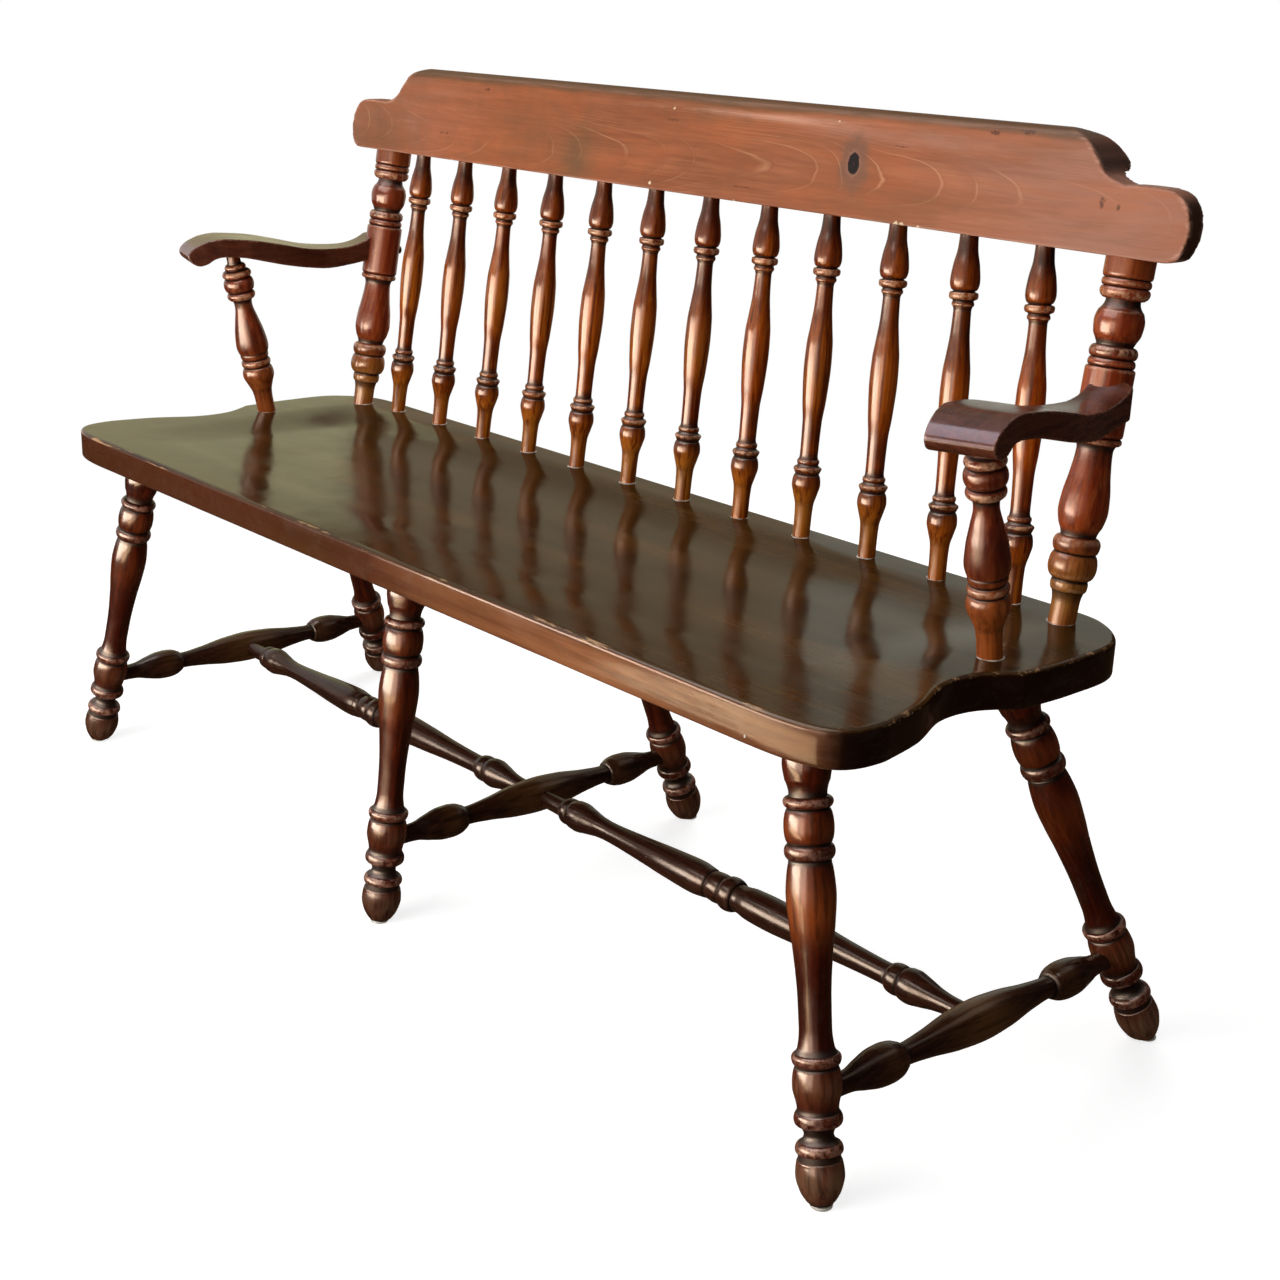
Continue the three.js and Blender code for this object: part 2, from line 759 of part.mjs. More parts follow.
function leg(row, { name, sign }) {
  const axis = row.axis(sign);
  const length = axis[0].distanceTo(axis[1]);
  const points = [
    [leg_tenon_radius, -leg_tenon_depth],
    [leg_tenon_radius, leg_turning_shares[0][0] * length],
    ...turning(leg_turning_shares, length, leg_radius),
  ];
  const body = lay_between(
    piece(`leg_${row.name}_${name}`, turned(points, leg_facets), "turned"),
    ...axis,
  );
  const foot = axis[1];
  const level = glide_thickness + joint_clearance;
  const below = tool_box(
    leg_radius * 4,
    leg_radius * 4,
    cut_overrun * 4,
    new THREE.Vector3(foot.x, foot.y, level - cut_overrun * 2),
  );
  const nail = bore_tool(glide_nail_radius, 0, nail_top() + joint_clearance, small_facets);
  const tools = [below, lay_between(nail, foot, foot.clone().add(z_axis)), stretcher_bore(row, sign)];
  return combine(body, tools, "subtract");
}

function nail_top() {
  return glide_thickness + glide_nail_length;
}

function glide(row, { name, sign }) {
  const points = [
    [glide_radius - glide_edge_round, 0],
    [glide_radius, glide_edge_round],
    [glide_radius, glide_thickness - glide_edge_round],
    [glide_radius - glide_edge_round, glide_thickness],
    [glide_nail_radius, glide_thickness],
    [glide_nail_radius, nail_top()],
  ];
  const foot = row.axis(sign)[1];
  const body = piece(`glide_${row.name}_${name}`, turned(points, small_facets), "glide");
  return lay_between(body, foot, foot.clone().add(z_axis));
}

// A bore for the end of a cross stretcher in the leg of one row.
function stretcher_bore(row, sign) {
  const [front, back] = cross_axis(sign);
  const [from, to] = row.name === "front" ? [front, back] : [back, front];
  const tool = bore_tool(
    cross_end_radius,
    stretcher_inset - joint_clearance,
    leg_radius + cut_overrun,
    stretcher_facets,
  );
  return lay_between(tool, from, to);
}

function medial_bores(sign) {
  const bores = [];
  const bore = (from, to) => {
    const tool = bore_tool(
      medial_end_radius,
      medial_inset - joint_clearance,
      cross_radius + cut_overrun,
      stretcher_facets,
    );
    bores.push(lay_between(tool, from, to));
  };
  if (sign <= 0) bore(cross_middle(sign), cross_middle(sign + 1));
  if (sign >= 0) bore(cross_middle(sign), cross_middle(sign - 1));
  return bores;
}

function cross_stretcher({ name, sign }) {
  const [front, back] = cross_axis(sign);
  const length = front.distanceTo(back);
  const mirrored = cross_turning_half_shares.slice(0, -1).map(([along, out]) => [1 - along, out]);
  const points = [
    [cross_end_radius, stretcher_inset],
    ...turning([...cross_turning_half_shares, ...mirrored.reverse()], length, cross_radius),
    [cross_end_radius, length - stretcher_inset],
  ];
  const body = piece(`cross_stretcher_${name}`, turned(points, stretcher_facets), "dark");
  return combine(lay_between(body, front, back), medial_bores(sign), "subtract");
}

function medial_stretcher({ name, sign }) {
  const [from, to] = medial_axis(sign);
  const length = from.distanceTo(to);
  const points = [
    [medial_end_radius, medial_inset],
    ...turning(medial_turning_shares, length, medial_radius),
    [medial_end_radius, length - medial_inset],
  ];
  const body = piece(`medial_stretcher_${name}`, turned(points, stretcher_facets), "dark");
  return lay_between(body, from, to);
}

function bench() {
  const group = new THREE.Group();
  group.add(seat(), crest_rail());
  for (let index = 0; index < spindle_count; index += 1) group.add(spindle(index));
  for (const side of sides) {
    group.add(post(side), arm(side), arm_post(side), arm_screw(side), medial_stretcher(side));
  }
  for (const station of stations) {
    group.add(cross_stretcher(station));
    for (const row of leg_rows) group.add(leg(row, station), glide(row, station));
  }
  const box = new THREE.Box3().setFromObject(group, true);
  const middle = box.getCenter(new THREE.Vector3());
  group.position.set(-middle.x, -middle.y, -box.min.z);
  return group;
}

export default bench();
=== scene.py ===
import math
import random

import bmesh
import bpy
import numpy as np
from mathutils import Matrix, Vector
from mathutils.geometry import delaunay_2d_cdt


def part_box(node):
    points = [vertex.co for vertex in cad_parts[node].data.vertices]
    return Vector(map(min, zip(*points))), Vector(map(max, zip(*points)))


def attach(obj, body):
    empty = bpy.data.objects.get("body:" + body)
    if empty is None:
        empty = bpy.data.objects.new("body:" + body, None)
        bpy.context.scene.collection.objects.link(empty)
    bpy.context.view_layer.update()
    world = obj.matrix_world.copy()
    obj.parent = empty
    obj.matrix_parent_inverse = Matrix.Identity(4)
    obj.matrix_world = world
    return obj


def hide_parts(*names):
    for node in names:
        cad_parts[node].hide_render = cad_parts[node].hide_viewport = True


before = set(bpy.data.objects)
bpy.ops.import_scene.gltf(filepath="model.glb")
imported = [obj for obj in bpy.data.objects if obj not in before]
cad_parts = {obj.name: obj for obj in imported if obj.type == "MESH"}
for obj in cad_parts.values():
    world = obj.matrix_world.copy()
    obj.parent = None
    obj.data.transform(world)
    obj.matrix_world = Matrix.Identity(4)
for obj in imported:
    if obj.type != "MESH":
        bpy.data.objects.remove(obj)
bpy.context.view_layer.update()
random.seed(11)
chance = np.random.default_rng(11)

# Sizes in metres, as in the part's source
mm = 0.001
seat_low, seat_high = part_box("seat")
seat_top = seat_high.z
seat_underside = seat_low.z
seat_half_length = seat_high.x
seat_depth = seat_high.y - seat_low.y
seat_front = seat_low.y
back_line = seat_high.y - 30 * mm
back_height = 334 * mm
crest_underside = seat_top + back_height
crest_height = 106 * mm
crest_half_length = 650 * mm
crest_setback = 17 * mm
crest_thickness = 22 * mm
crest_lean = 12.5 * mm
crest_roll_depth = 57 * mm
arm_low = seat_top + 184 * mm
arm_rise = 46 * mm
arm_length = 266 * mm
arm_reach = 245 * mm
arm_nose_out = 633 * mm
arm_half_width = 36 * mm
arm_toe_out = math.radians(18)
post_radius = 22.8 * mm
spindle_count = 12
spindle_radius = 15 * mm
spindle_feet_reach = 516.5 * mm
spindle_tops_reach = 494 * mm
spindle_tops_back = 28 * mm
arm_post_radius = 20.6 * mm
arm_post_share = 0.488
leg_radius = 21.5 * mm
leg_clearance = 3 * mm
cross_radius = 20 * mm
cross_share = 0.763
medial_radius = 18.5 * mm
barrel_foot = 176 * mm
barrel_height = 56.5 * mm
screw_rise = 204 * mm
rim_step = 2.5 * mm
knot_x = 253 * mm

# Where the turned pieces' axes start and stop: mm along the bench and behind the spindles' line
post_axis = ((584, -11), (580, 41))
arm_post_axis = ((608.1, -146.2), (612.1, -187.2))
leg_axes = {"front": ((575, -341), (667, -383)), "back": ((574.5, -76), (675, 78))}

# The sides of the bench as seen from the front, with the sign of x at each
both_sides = ((-1, "left"), (1, "right"))
three_places = ((-1, "left"), (0, "middle"), (1, "right"))
legs = [(row, sign, side) for row in ("front", "back") for sign, side in three_places]


def at(x, y, z):
    """A point from its distance along the bench, behind the spindles' line and above the floor."""
    return Vector((x, back_line + y, z))


# Node helpers
class Value:
    """One output of a node. A sum or a product with it is a node too."""
    def __init__(self, tree, socket):
        self.tree = tree
        self.socket = socket

    def math(self, operation, other=0.0):
        return node(self.tree, "ShaderNodeMath", {0: self, 1: other}, operation=operation)

    def __add__(self, other):
        return self.math("ADD", other)

    def __sub__(self, other):
        return self.math("SUBTRACT", other)

    def __mul__(self, other):
        return self.math("MULTIPLY", other)

    def spread(self, low, high, to_low=0.0, to_high=1.0):
        """The value carried from one range to another, and held inside it."""
        inputs = {0: self, 1: low, 2: high, 3: to_low, 4: to_high}
        return node(self.tree, "ShaderNodeMapRange", inputs, clamp=True)


def node(tree, kind, inputs, output=0, **settings):
    """A new node with its inputs set or linked. It gives back one of its outputs, if it has any."""
    made = tree.nodes.new(kind)
    for key, value in settings.items():
        setattr(made, key, value)
    for key, value in inputs.items():
        if isinstance(value, Value):
            tree.links.new(value.socket, made.inputs[key])
        else:
            made.inputs[key].default_value = value
    return Value(tree, made.outputs[output]) if made.outputs else made


def attribute(tree, name, output="Fac"):
    return node(tree, "ShaderNodeAttribute", {}, output, attribute_name=name)


def mix(factor, under, over):
    """One colour laid over another, as far as the factor says."""
    inputs = {0: factor, 6: under, 7: over}
    return node(factor.tree, "ShaderNodeMix", inputs, 2, data_type="RGBA", clamp_factor=True)


def noise(place, scale, detail=3.0, rough=0.55, along=1, across=1, distortion=0.0):
    """Noise that is drawn out along the grain where along is small."""
    scaled = node(place.tree, "ShaderNodeMapping", {"Vector": place, "Scale": (across, 1, along)})
    inputs = {"Vector": scaled, "Scale": scale, "Detail": detail, "Roughness": rough}
    inputs["Distortion"] = distortion
    return node(place.tree, "ShaderNodeTexNoise", inputs, "Fac")


def bumps(height, strength, depth, under=None):
    """Relief for a shader's normal, on top of another relief where one is given."""
    inputs = {"Height": height, "Strength": strength, "Distance": depth}
    if under:
        inputs["Normal"] = under
    return node(height.tree, "ShaderNodeBump", inputs)


def colour(red, green, blue):
    """A written sRGB colour, 0 to 255, as the linear colour that a shader takes."""
    def linear(value):
        share = value / 255
        return share / 12.92 if share <= 0.04045 else ((share + 0.055) / 1.055) ** 2.4

    return (linear(red), linear(green), linear(blue), 1.0)


def empty_tree(owner):
    owner.use_nodes = True
    owner.node_tree.nodes.clear()
    return owner.node_tree


def new_material(name):
    material = bpy.data.materials.new(name)
    return material, empty_tree(material)


def surface(tree, inputs):
    """The shader and the output that end a material's tree."""
    shader = node(tree, "ShaderNodeBsdfPrincipled", inputs)
    node(tree, "ShaderNodeOutputMaterial", {"Surface": shader}).is_active_output = True


# Colours that every wood shares
pore_colour = colour(24, 10, 5)
endgrain_colour = colour(19, 9, 5)
dirt_colour = colour(18, 6, 3)
dust_colour = colour(150, 138, 120)


# The stained and lacquered wood of every turned, sawn and planed piece
def wood(name, deep, body, pale, worn_and_highlight, figure="rings", ring_size=5 * mm, ring_strength=0.5,
         pore_strength=0.35, blotch=0.45, tone=None, tan=None, shade=None, streaks=0.0, dust=0.0,
         gloss=0.24, ior=1.44, specular_tint=(1.0, 0.78, 0.6, 1.0), bump=0.25, waves=0.0,
         grain_relief=0.0, rub_along=1.0, rub_range=(0.42, 0.66), extra=None):
    """Colours are written 0 to 255: dark fibres, plain ones, pale rings and worn edges first. On the
    crest rail the worn colour also paints a highlight line.
    """
    deep, body, pale, worn_and_highlight = (colour(*written) for written in (deep, body, pale, worn_and_highlight))
    material, tree = new_material(name)
    place = attribute(tree, "grain_place", "Vector")
    if figure == "rings":
        wobble = noise(place, 9.0, 2.0, along=0.16)
        aside = node(tree, "ShaderNodeCombineXYZ", {0: wobble * 0.035, 1: 0.012, 2: 0.0})
        bent = node(tree, "ShaderNodeVectorMath", {0: place, 1: aside}, operation="ADD")
        inputs = {"Vector": bent, "Scale": 0.314 / ring_size, "Distortion": 1.4, "Detail": 2.0}
        inputs["Detail Scale"] = 14.0
        rings = node(tree, "ShaderNodeTexWave", inputs, "Fac",
                     wave_type="RINGS", rings_direction="Z", wave_profile="SAW")
        late = rings.spread(0.55, 1.0)
    elif figure == "path":
        path = attribute(tree, "ring_path") + noise(place, 26.0, 4.0, along=0.3) * 0.5
        rings = path.math("FRACT")
        uneven = noise(place, 18.0, 3.0, along=0.4).spread(0.4, 0.62, 0.05, 1.0)
        late = (rings - 0.93).math("ABSOLUTE").spread(0.055, 0.0) * uneven
    else:
        late = noise(place, 22.0, 4.0, 0.6, along=0.06).spread(0.5, 0.68)
    fibre = noise(place, 420.0, 4.0, 0.6, along=0.035)
    streak = noise(place, 95.0, 3.0, 0.6, along=0.05)
    cloud = noise(place, 13.0, 3.0, 0.6, along=0.35)
    pores = noise(place, 1500.0, 1.0, along=0.03).spread(0.62, 0.74)
    tint = mix((fibre * 0.45 + streak * 0.55).spread(0.36, 0.64), deep, body)
    if figure == "path":
        tint = mix(rings.spread(0.3, 0.93, 0.0, 0.45), tint, deep)
    tint = mix(late * ring_strength, tint, pale)
    tint = mix(cloud.spread(0.62, 0.34, 0.0, blotch), tint, deep)
    if tone:
        tint = mix(attribute(tree, "tone") * cloud.spread(0.3, 0.6, 0.55, 1.0), tint, colour(*tone))
    tint = mix(pores * pore_strength, tint, pore_colour)
    if tan:
        tint = mix(attribute(tree, "tan") * streak.spread(0.36, 0.58, 0.35, 0.95), tint, colour(*tan))
    if shade:
        tint = mix(attribute(tree, "shade") * streak.spread(0.4, 0.66, 1.0, 0.6), tint, colour(*shade))
    if streaks:
        dark_streak = tuple(0.45 * channel for channel in deep[:3]) + (1.0,)
        run = noise(place, 210.0, 3.0, 0.6, along=0.04)
        tint = mix(run.spread(0.5, 0.62, 0.0, streaks), tint, dark_streak)
    if extra:
        tint = extra(tree, place, tint)
    tint = mix(attribute(tree, "endgrain") * 0.85, tint, endgrain_colour)
    rub = noise(place, 160.0, 5.0, 0.7, along=rub_along)
    wear = attribute(tree, "wear") * rub.spread(*rub_range, 0.0, 0.85)
    grime = attribute(tree, "dirt") * rub.spread(0.25, 0.6, 0.65, 1.0)
    tint = mix(grime, mix(wear, tint, worn_and_highlight), dirt_colour)
    if dust:
        tint = mix(noise(place, 60.0, 5.0, 0.75).spread(0.5, 0.75) * dust, tint, dust_colour)
    smear = noise(place, 34.0, 4.0, 0.65, along=0.5)
    rough = smear.spread(0.3, 0.7, gloss - 0.05, gloss + 0.08) + (wear + grime) * 0.22
    relief = bumps(fibre * 0.5 + streak * 0.9 + cloud * 1.2 - pores * 0.5, bump, 0.25 * mm)
    if waves:
        swell = noise(place, 24.0, 2.0, 0.45, along=0.8)
        relief = bumps(swell, 1.0, waves, relief)
    if grain_relief:
        rows = noise(place, 190.0, 3.0, 0.55, along=0.07)
        relief = bumps(rows, 1.0, grain_relief, relief)
    surface(tree, {"Base Color": tint, "Roughness": rough, "Normal": relief, "IOR": ior,
                   "Specular Tint": specular_tint})
    return material


def crest_marks(tree, place, tint):
    """The knot, the cloudy stains, the painted shade along the top of the roll and the chips of the
    crest rail's face.
    """
    def ragged(name, amount, *kind, **shape):
        """A stored value with noise about it, which leaves its edge uneven."""
        return attribute(tree, name) + (noise(place, *kind, **shape) - 0.5) * amount

    warm = noise(place, 7.0, 4.0, 0.62, along=0.5, across=1.6, distortion=1.2)
    dull = noise(place, 30.0, 4.0, 0.65, along=0.12)
    haze = ragged("knot", 4.0, 60.0, 4.0, 0.7)
    knot = ragged("knot", 0.55, 170.0)
    stain = ragged("stain", 0.9, 45.0)
    # Painted shade: the top of the roll darkened in olive brown
    band = ragged("band", 0.8, 40.0, 4.0, along=0.3)
    mark = ragged("mark", 1.4, 300.0)
    chip = ragged("chip", 0.8, 400.0, 2.0)
    for value, starts, full, strength, over in (
        (warm, 0.42, 0.64, 0.5, (188, 102, 58)),
        (dull, 0.48, 0.7, 0.6, (132, 82, 50)),
        (haze, 3.4, 2.0, 0.6, (112, 86, 70)),
        (knot, 1.5, 1.15, 0.35, (176, 124, 106)),
        (knot, 1.12, 0.96, 1.0, (16, 2, 2)),
        (knot, 0.3, 0.12, 0.5, (66, 30, 32)),
        (stain, 0.1, 1.0, 0.65, (104, 82, 56)),
        (band, 0.3, 0.8, 0.8, (96, 72, 46)),
        (mark, 0.55, 0.85, 0.65, (62, 34, 24)),
        (chip, 0.42, 0.55, 1.0, (238, 214, 178)),
    ):
        tint = mix(value.spread(starts, full, 0.0, strength), tint, colour(*over))
    return tint


seat_wood = wood(
    "seat_wood", (52, 30, 10), (88, 58, 24), (122, 82, 40), (196, 150, 106),
    figure="plain", ring_strength=0.6, pore_strength=0.4, blotch=0.5, dust=0.06, gloss=0.13,
    ior=1.25, tone=(82, 42, 26), tan=(146, 92, 58), bump=0.1, waves=0.3 * mm,
    grain_relief=0.06 * mm, rub_along=0.09, rub_range=(0.56, 0.64),
)
crest_wood = wood(
    # the worn colour also paints the rail's highlight line
    "crest_wood", (140, 78, 48), (184, 112, 74), (236, 176, 130), (232, 176, 150),
    # the tone colour paints the rail's sheen and reflection
    figure="path", ring_strength=0.75, pore_strength=0.15, blotch=0.4, tone=(196, 144, 124),
    gloss=0.44, ior=1.14, specular_tint=(0.95, 1.0, 0.95, 1.0), bump=0.2, rub_along=0.06,
    extra=crest_marks,
)
spindle_wood = wood(
    "spindle_wood", (122, 40, 2), (196, 90, 10), (228, 138, 44), (226, 168, 124),
    ring_size=4 * mm, ring_strength=0.35, blotch=0.8, streaks=0.8, gloss=0.18,
    tone=(164, 102, 30), shade=(36, 12, 10),
)
post_wood = wood(
    "post_wood", (118, 34, 8), (192, 84, 36), (214, 120, 64), (224, 170, 128),
    ring_strength=0.35, blotch=0.6, streaks=0.5, gloss=0.21,
    tone=(164, 108, 42), shade=(58, 20, 16),
)
arm_wood = wood(
    "arm_wood", (80, 36, 21), (118, 60, 36), (145, 82, 55), (176, 126, 98),
    ring_size=7 * mm, ring_strength=0.3, streaks=0.4, dust=0.04, gloss=0.22, ior=1.34,
    specular_tint=(1.0, 0.9, 0.95, 1.0), bump=0.1,
)
# The tone colour also paints a warm highlight on the legs' upper vases
leg_wood = wood(
    "leg_wood", (56, 8, 0), (112, 34, 8), (144, 58, 22), (180, 128, 104),
    ring_strength=0.35, blotch=0.6, streaks=0.5, dust=0.04, gloss=0.2, ior=1.48,
    tone=(188, 92, 36), tan=(128, 96, 72), shade=(40, 10, 6),
)
# The tone colour is laid on the cross stretchers only; in their middle it is a painted highlight
stretcher_wood = wood(
    "stretcher_wood", (34, 14, 8), (66, 34, 22), (92, 54, 36), (120, 90, 74),
    ring_strength=0.3, streaks=0.5, dust=0.02, gloss=0.2, ior=1.36, tone=(112, 74, 40),
)


def steel():
    material, tree = new_material("darkened_steel")
    place = attribute(tree, "grain_place", "Vector")
    grain = noise(place, 900.0, 4.0, 0.7)
    rust = noise(place, 420.0, 4.0, 0.7).spread(0.46, 0.66)
    tint = mix(rust, mix(grain, colour(74, 64, 52), colour(126, 112, 92)), colour(70, 40, 24))
    surface(tree, {"Base Color": tint, "Roughness": grain.spread(0.3, 0.7, 0.28, 0.5),
                   "Metallic": 1.0, "IOR": 1.5, "Normal": bumps(grain, 0.3, 0.1 * mm)})
    return material


def plastic(name, clean, soiled, rough):
    material, tree = new_material(name)
    place = attribute(tree, "grain_place", "Vector")
    scuff = noise(place, 300.0, 5.0, 0.7)
    soil = noise(place, 90.0, 4.0, 0.7).spread(0.42, 0.7)
    surface(tree, {"Base Color": mix(soil, clean, soiled), "IOR": 1.45,
                   "Roughness": scuff.spread(0.3, 0.7, rough - 0.1, rough + 0.15),
                   "Normal": bumps(scuff, 0.4, 0.2 * mm)})
    return material


screw_steel = steel()
glide_plastic = plastic("glide_plastic", colour(222, 217, 204), colour(150, 132, 108), 0.5)
wax = plastic("polish_residue", colour(206, 202, 188), colour(150, 138, 112), 0.6)


# Meshes
def linked(name, data):
    """A new object with this data, in the scene."""
    made = bpy.data.objects.new(name, data)
    bpy.context.scene.collection.objects.link(made)
    return made


def mesh_object(name, vertices, faces, material, smooth_angle=38):
    mesh = bpy.data.meshes.new(name)
    mesh.from_pydata([tuple(v) for v in vertices], [], [tuple(f) for f in faces])
    mesh.validate()
    mesh.update()
    return finish_object(name, mesh, material, smooth_angle)


def finish_object(name, mesh, material, smooth_angle):
    mesh.materials.clear()
    mesh.materials.append(material)
    mesh.shade_smooth()
    if smooth_angle:
        mesh.set_sharp_from_angle(angle=math.radians(smooth_angle))
    return linked(name, mesh)


def store(piece, **layers):
    """Values for each vertex, which the materials read by name, as zero where a piece has none."""
    for name, values in layers.items():
        values = np.asarray(values, np.float32)
        kind, key = ("FLOAT_VECTOR", "vector") if values.ndim == 2 else ("FLOAT", "value")
        layer = piece.data.attributes.new(name, kind, "POINT")
        layer.data.foreach_set(key, values.ravel())


def per_vertex(mesh, key):
    """Where each vertex is, for the key co, or its normal, for the key normal."""
    flat = np.zeros(len(mesh.vertices) * 3, np.float32)
    mesh.vertices.foreach_get(key, flat)
    return flat.reshape(-1, 3).astype(float)


def stand_in_for(piece, cad_node):
    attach(piece, "root")
    if cad_node:
        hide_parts(cad_node)


def tube_faces(rings, count):
    """The faces between rings of points that follow each other, each ring closed on itself."""
    faces = []
    for low in range(0, (rings - 1) * count, count):
        high = low + count
        for j in range(count):
            k = (j + 1) % count
            faces.append((low + j, low + k, high + k, high + j))
    return faces


# Turned profiles: each station is a share of the length, a share of the radius, and how the
# outline reaches it: b the round of a bead, c the hollow of a cove, l straight, and else smoothly
def kind_of(station):
    return (*station, "s")[2]


def profile(stations, length, radius, fine=1.6 * mm):
    along = np.array([s[0] for s in stations], float)
    out = np.array([s[1] for s in stations], float)
    step = np.diff(along)
    rise = np.diff(out) / step
    slope = np.zeros(len(along))
    for i in range(1, len(along) - 1):
        if rise[i - 1] * rise[i] > 0:
            first = 2 * step[i] + step[i - 1]
            second = step[i] + 2 * step[i - 1]
            slope[i] = (first + second) / (first / rise[i - 1] + second / rise[i])
    slope[0] = rise[0]
    points = [(along[0], out[0])]
    for i in range(len(along) - 1):
        kind = kind_of(stations[i + 1])
        count = max(5, math.ceil(step[i] * length / fine))
        for k in range(1, count + 1):
            u = k / count
            if kind in "bc":
                u = (1 - math.cos(math.pi * u)) / 2
            low, high = min(out[i], out[i + 1]), max(out[i], out[i + 1])
            x = u if out[i + 1] > out[i] else 1 - u
            if kind == "b":
                r = low + (high - low) * math.sqrt(max(0.0, 1 - (1 - x) ** 2))
            elif kind == "c":
                r = low + (high - low) * x ** 2.2
            elif kind == "l":
                r = out[i] + (out[i + 1] - out[i]) * u
            else:
                h, a, b = step[i], slope[i], slope[i + 1]
                r = ((2 * u ** 3 - 3 * u ** 2 + 1) * out[i] + (u ** 3 - 2 * u ** 2 + u) * h * a
                     + (3 * u ** 2 - 2 * u ** 3) * out[i + 1] + (u ** 3 - u ** 2) * h * b)
            points.append((along[i] + step[i] * u, r))
    points = np.array(points)
    return points[:, 0] * length, points[:, 1] * radius


def ridges(along, out, reach=2.6 * mm, depth=0.5 * mm, step=0.4 * mm):
    """How far each ring stands proud of its neighbours, and how far it lies below them."""
    line = np.arange(along[0] - 12 * mm, along[-1] + 12 * mm, step)
    shape = np.interp(line, along, out)
    half = int(3 * reach / step)
    weights = np.exp(-0.5 * (np.arange(-half, half + 1) * step / reach) ** 2)
    level = np.convolve(np.pad(shape, half, mode="edge"), weights / weights.sum(), mode="valid")
    proud = np.interp(along, line, shape - level) / depth
    return np.clip(1.4 * proud - 0.7, 0, 1), np.clip(-1.2 * proud, 0, 1)


def pooled(*places):
    """Amounts along a piece: each place is a share of its length, a width and a strength."""
    def at_share(along):
        share = along / along[-1]
        total = np.zeros(len(along))
        for middle, wide, strength in places:
            total = np.maximum(total, strength * np.exp(-(((share - middle) / wide) ** 2)))
        return total
    return at_share


def fade(low, high, top):
    """An amount that falls from its top at one distance along a piece to none at another."""
    return lambda along: top * np.clip((high - along) / (high - low), 0, 1)


def turned(name, start, end, along, out, material, sides=40, tone=pooled(), shade=pooled(),
           bare=pooled()):
    """A round piece about a line, with the radius that out gives at each place along it."""
    axis = (end - start).normalized()
    side = Vector((1, 0, 0)) if abs(axis.x) < 0.7 else Vector((0, 1, 0))
    across = (side - axis * side.dot(axis)).normalized()
    third = axis.cross(across)
    spin = random.uniform(0, 2 * math.pi)
    angles = np.arange(sides) * 2 * math.pi / sides + spin
    ring = np.outer(np.cos(angles), np.array(across)) + np.outer(np.sin(angles), np.array(third))
    centre = np.array(start)[None, :] + np.outer(along, np.array(axis))
    vertices = (centre[:, None, :] + out[:, None, None] * ring[None, :, :]).reshape(-1, 3)
    count = len(along)
    faces = tube_faces(count, sides)
    faces.append(tuple(range(sides - 1, -1, -1)))
    faces.append(tuple(range((count - 1) * sides, count * sides)))
    piece = mesh_object(name, vertices, faces, material)
    wear, dirt = ridges(along, out)
    slide = chance.uniform(-3, 3, 3)[2]
    pith = chance.uniform(-14, 14, 2) * mm
    grain_place = np.stack([
        np.outer(out, np.cos(angles)).ravel() + pith[0],
        np.outer(out, np.sin(angles)).ravel() + pith[1],
        np.repeat(along, sides) + slide,
    ], axis=1)
    store(piece, grain_place=grain_place)
    amounts = {"wear": wear, "dirt": dirt, "tone": tone(along), "shade": shade(along),
               "tan": bare(along)}
    store(piece, **{layer: np.repeat(values, sides) for layer, values in amounts.items()})
    return piece


spindle_stations = [
    (-0.012, 0.6), (0.06, 0.61), (0.1, 0.65), (0.14, 0.87), (0.167, 1.0),
    (0.199, 0.82, "b"), (0.216, 0.99, "l"), (0.222, 0.93, "b"), (0.231, 0.72, "c"),
    (0.24, 0.78, "b"), (0.247, 0.68, "b"), (0.262, 0.63), (0.361, 0.67), (0.43, 0.82),
    (0.54, 0.945), (0.603, 0.91), (0.66, 0.77), (0.723, 0.625), (0.788, 0.58),
    (0.797, 0.64, "l"), (0.803, 0.73, "b"), (0.811, 0.66, "b"), (0.817, 0.82, "c"), (0.828, 0.95, "b"),
    (0.837, 0.88, "b"), (0.841, 0.7, "c"), (0.868, 0.965, "b"), (0.91, 0.87), (0.96, 0.65),
    (1.0, 0.6), (1.02, 0.6),
]
post_stations = [
    (-0.012, 0.56), (0.05, 0.57), (0.085, 0.66, "c"), (0.089, 0.72, "b"), (0.104, 0.76, "b"),
    (0.117, 0.69, "b"), (0.152, 0.99, "b"), (0.188, 0.8, "b"), (0.213, 0.96, "b"), (0.233, 0.72, "b"),
    (0.245, 0.76), (0.266, 0.9), (0.303, 1.0), (0.343, 0.96), (0.4, 0.82),
    (0.462, 0.73), (0.478, 0.82, "c"), (0.488, 1.0, "b"), (0.498, 0.88, "b"), (0.508, 1.0, "b"),
    (0.69, 1.0), (0.698, 0.86, "b"), (0.708, 0.95, "b"), (0.722, 0.83, "b"), (0.738, 0.97, "b"),
    (0.757, 0.74, "b"), (0.768, 0.8), (0.79, 0.95), (0.822, 1.0), (0.85, 0.9),
    (0.88, 0.69, "c"), (0.902, 1.0, "b"), (0.914, 0.87, "b"), (0.925, 0.99, "b"), (0.937, 0.89, "b"),
    (0.949, 1.0, "b"), (0.985, 1.0, "l"), (1.0, 1.0, "l"),
]
barrel_shares = (0.508, 0.69)
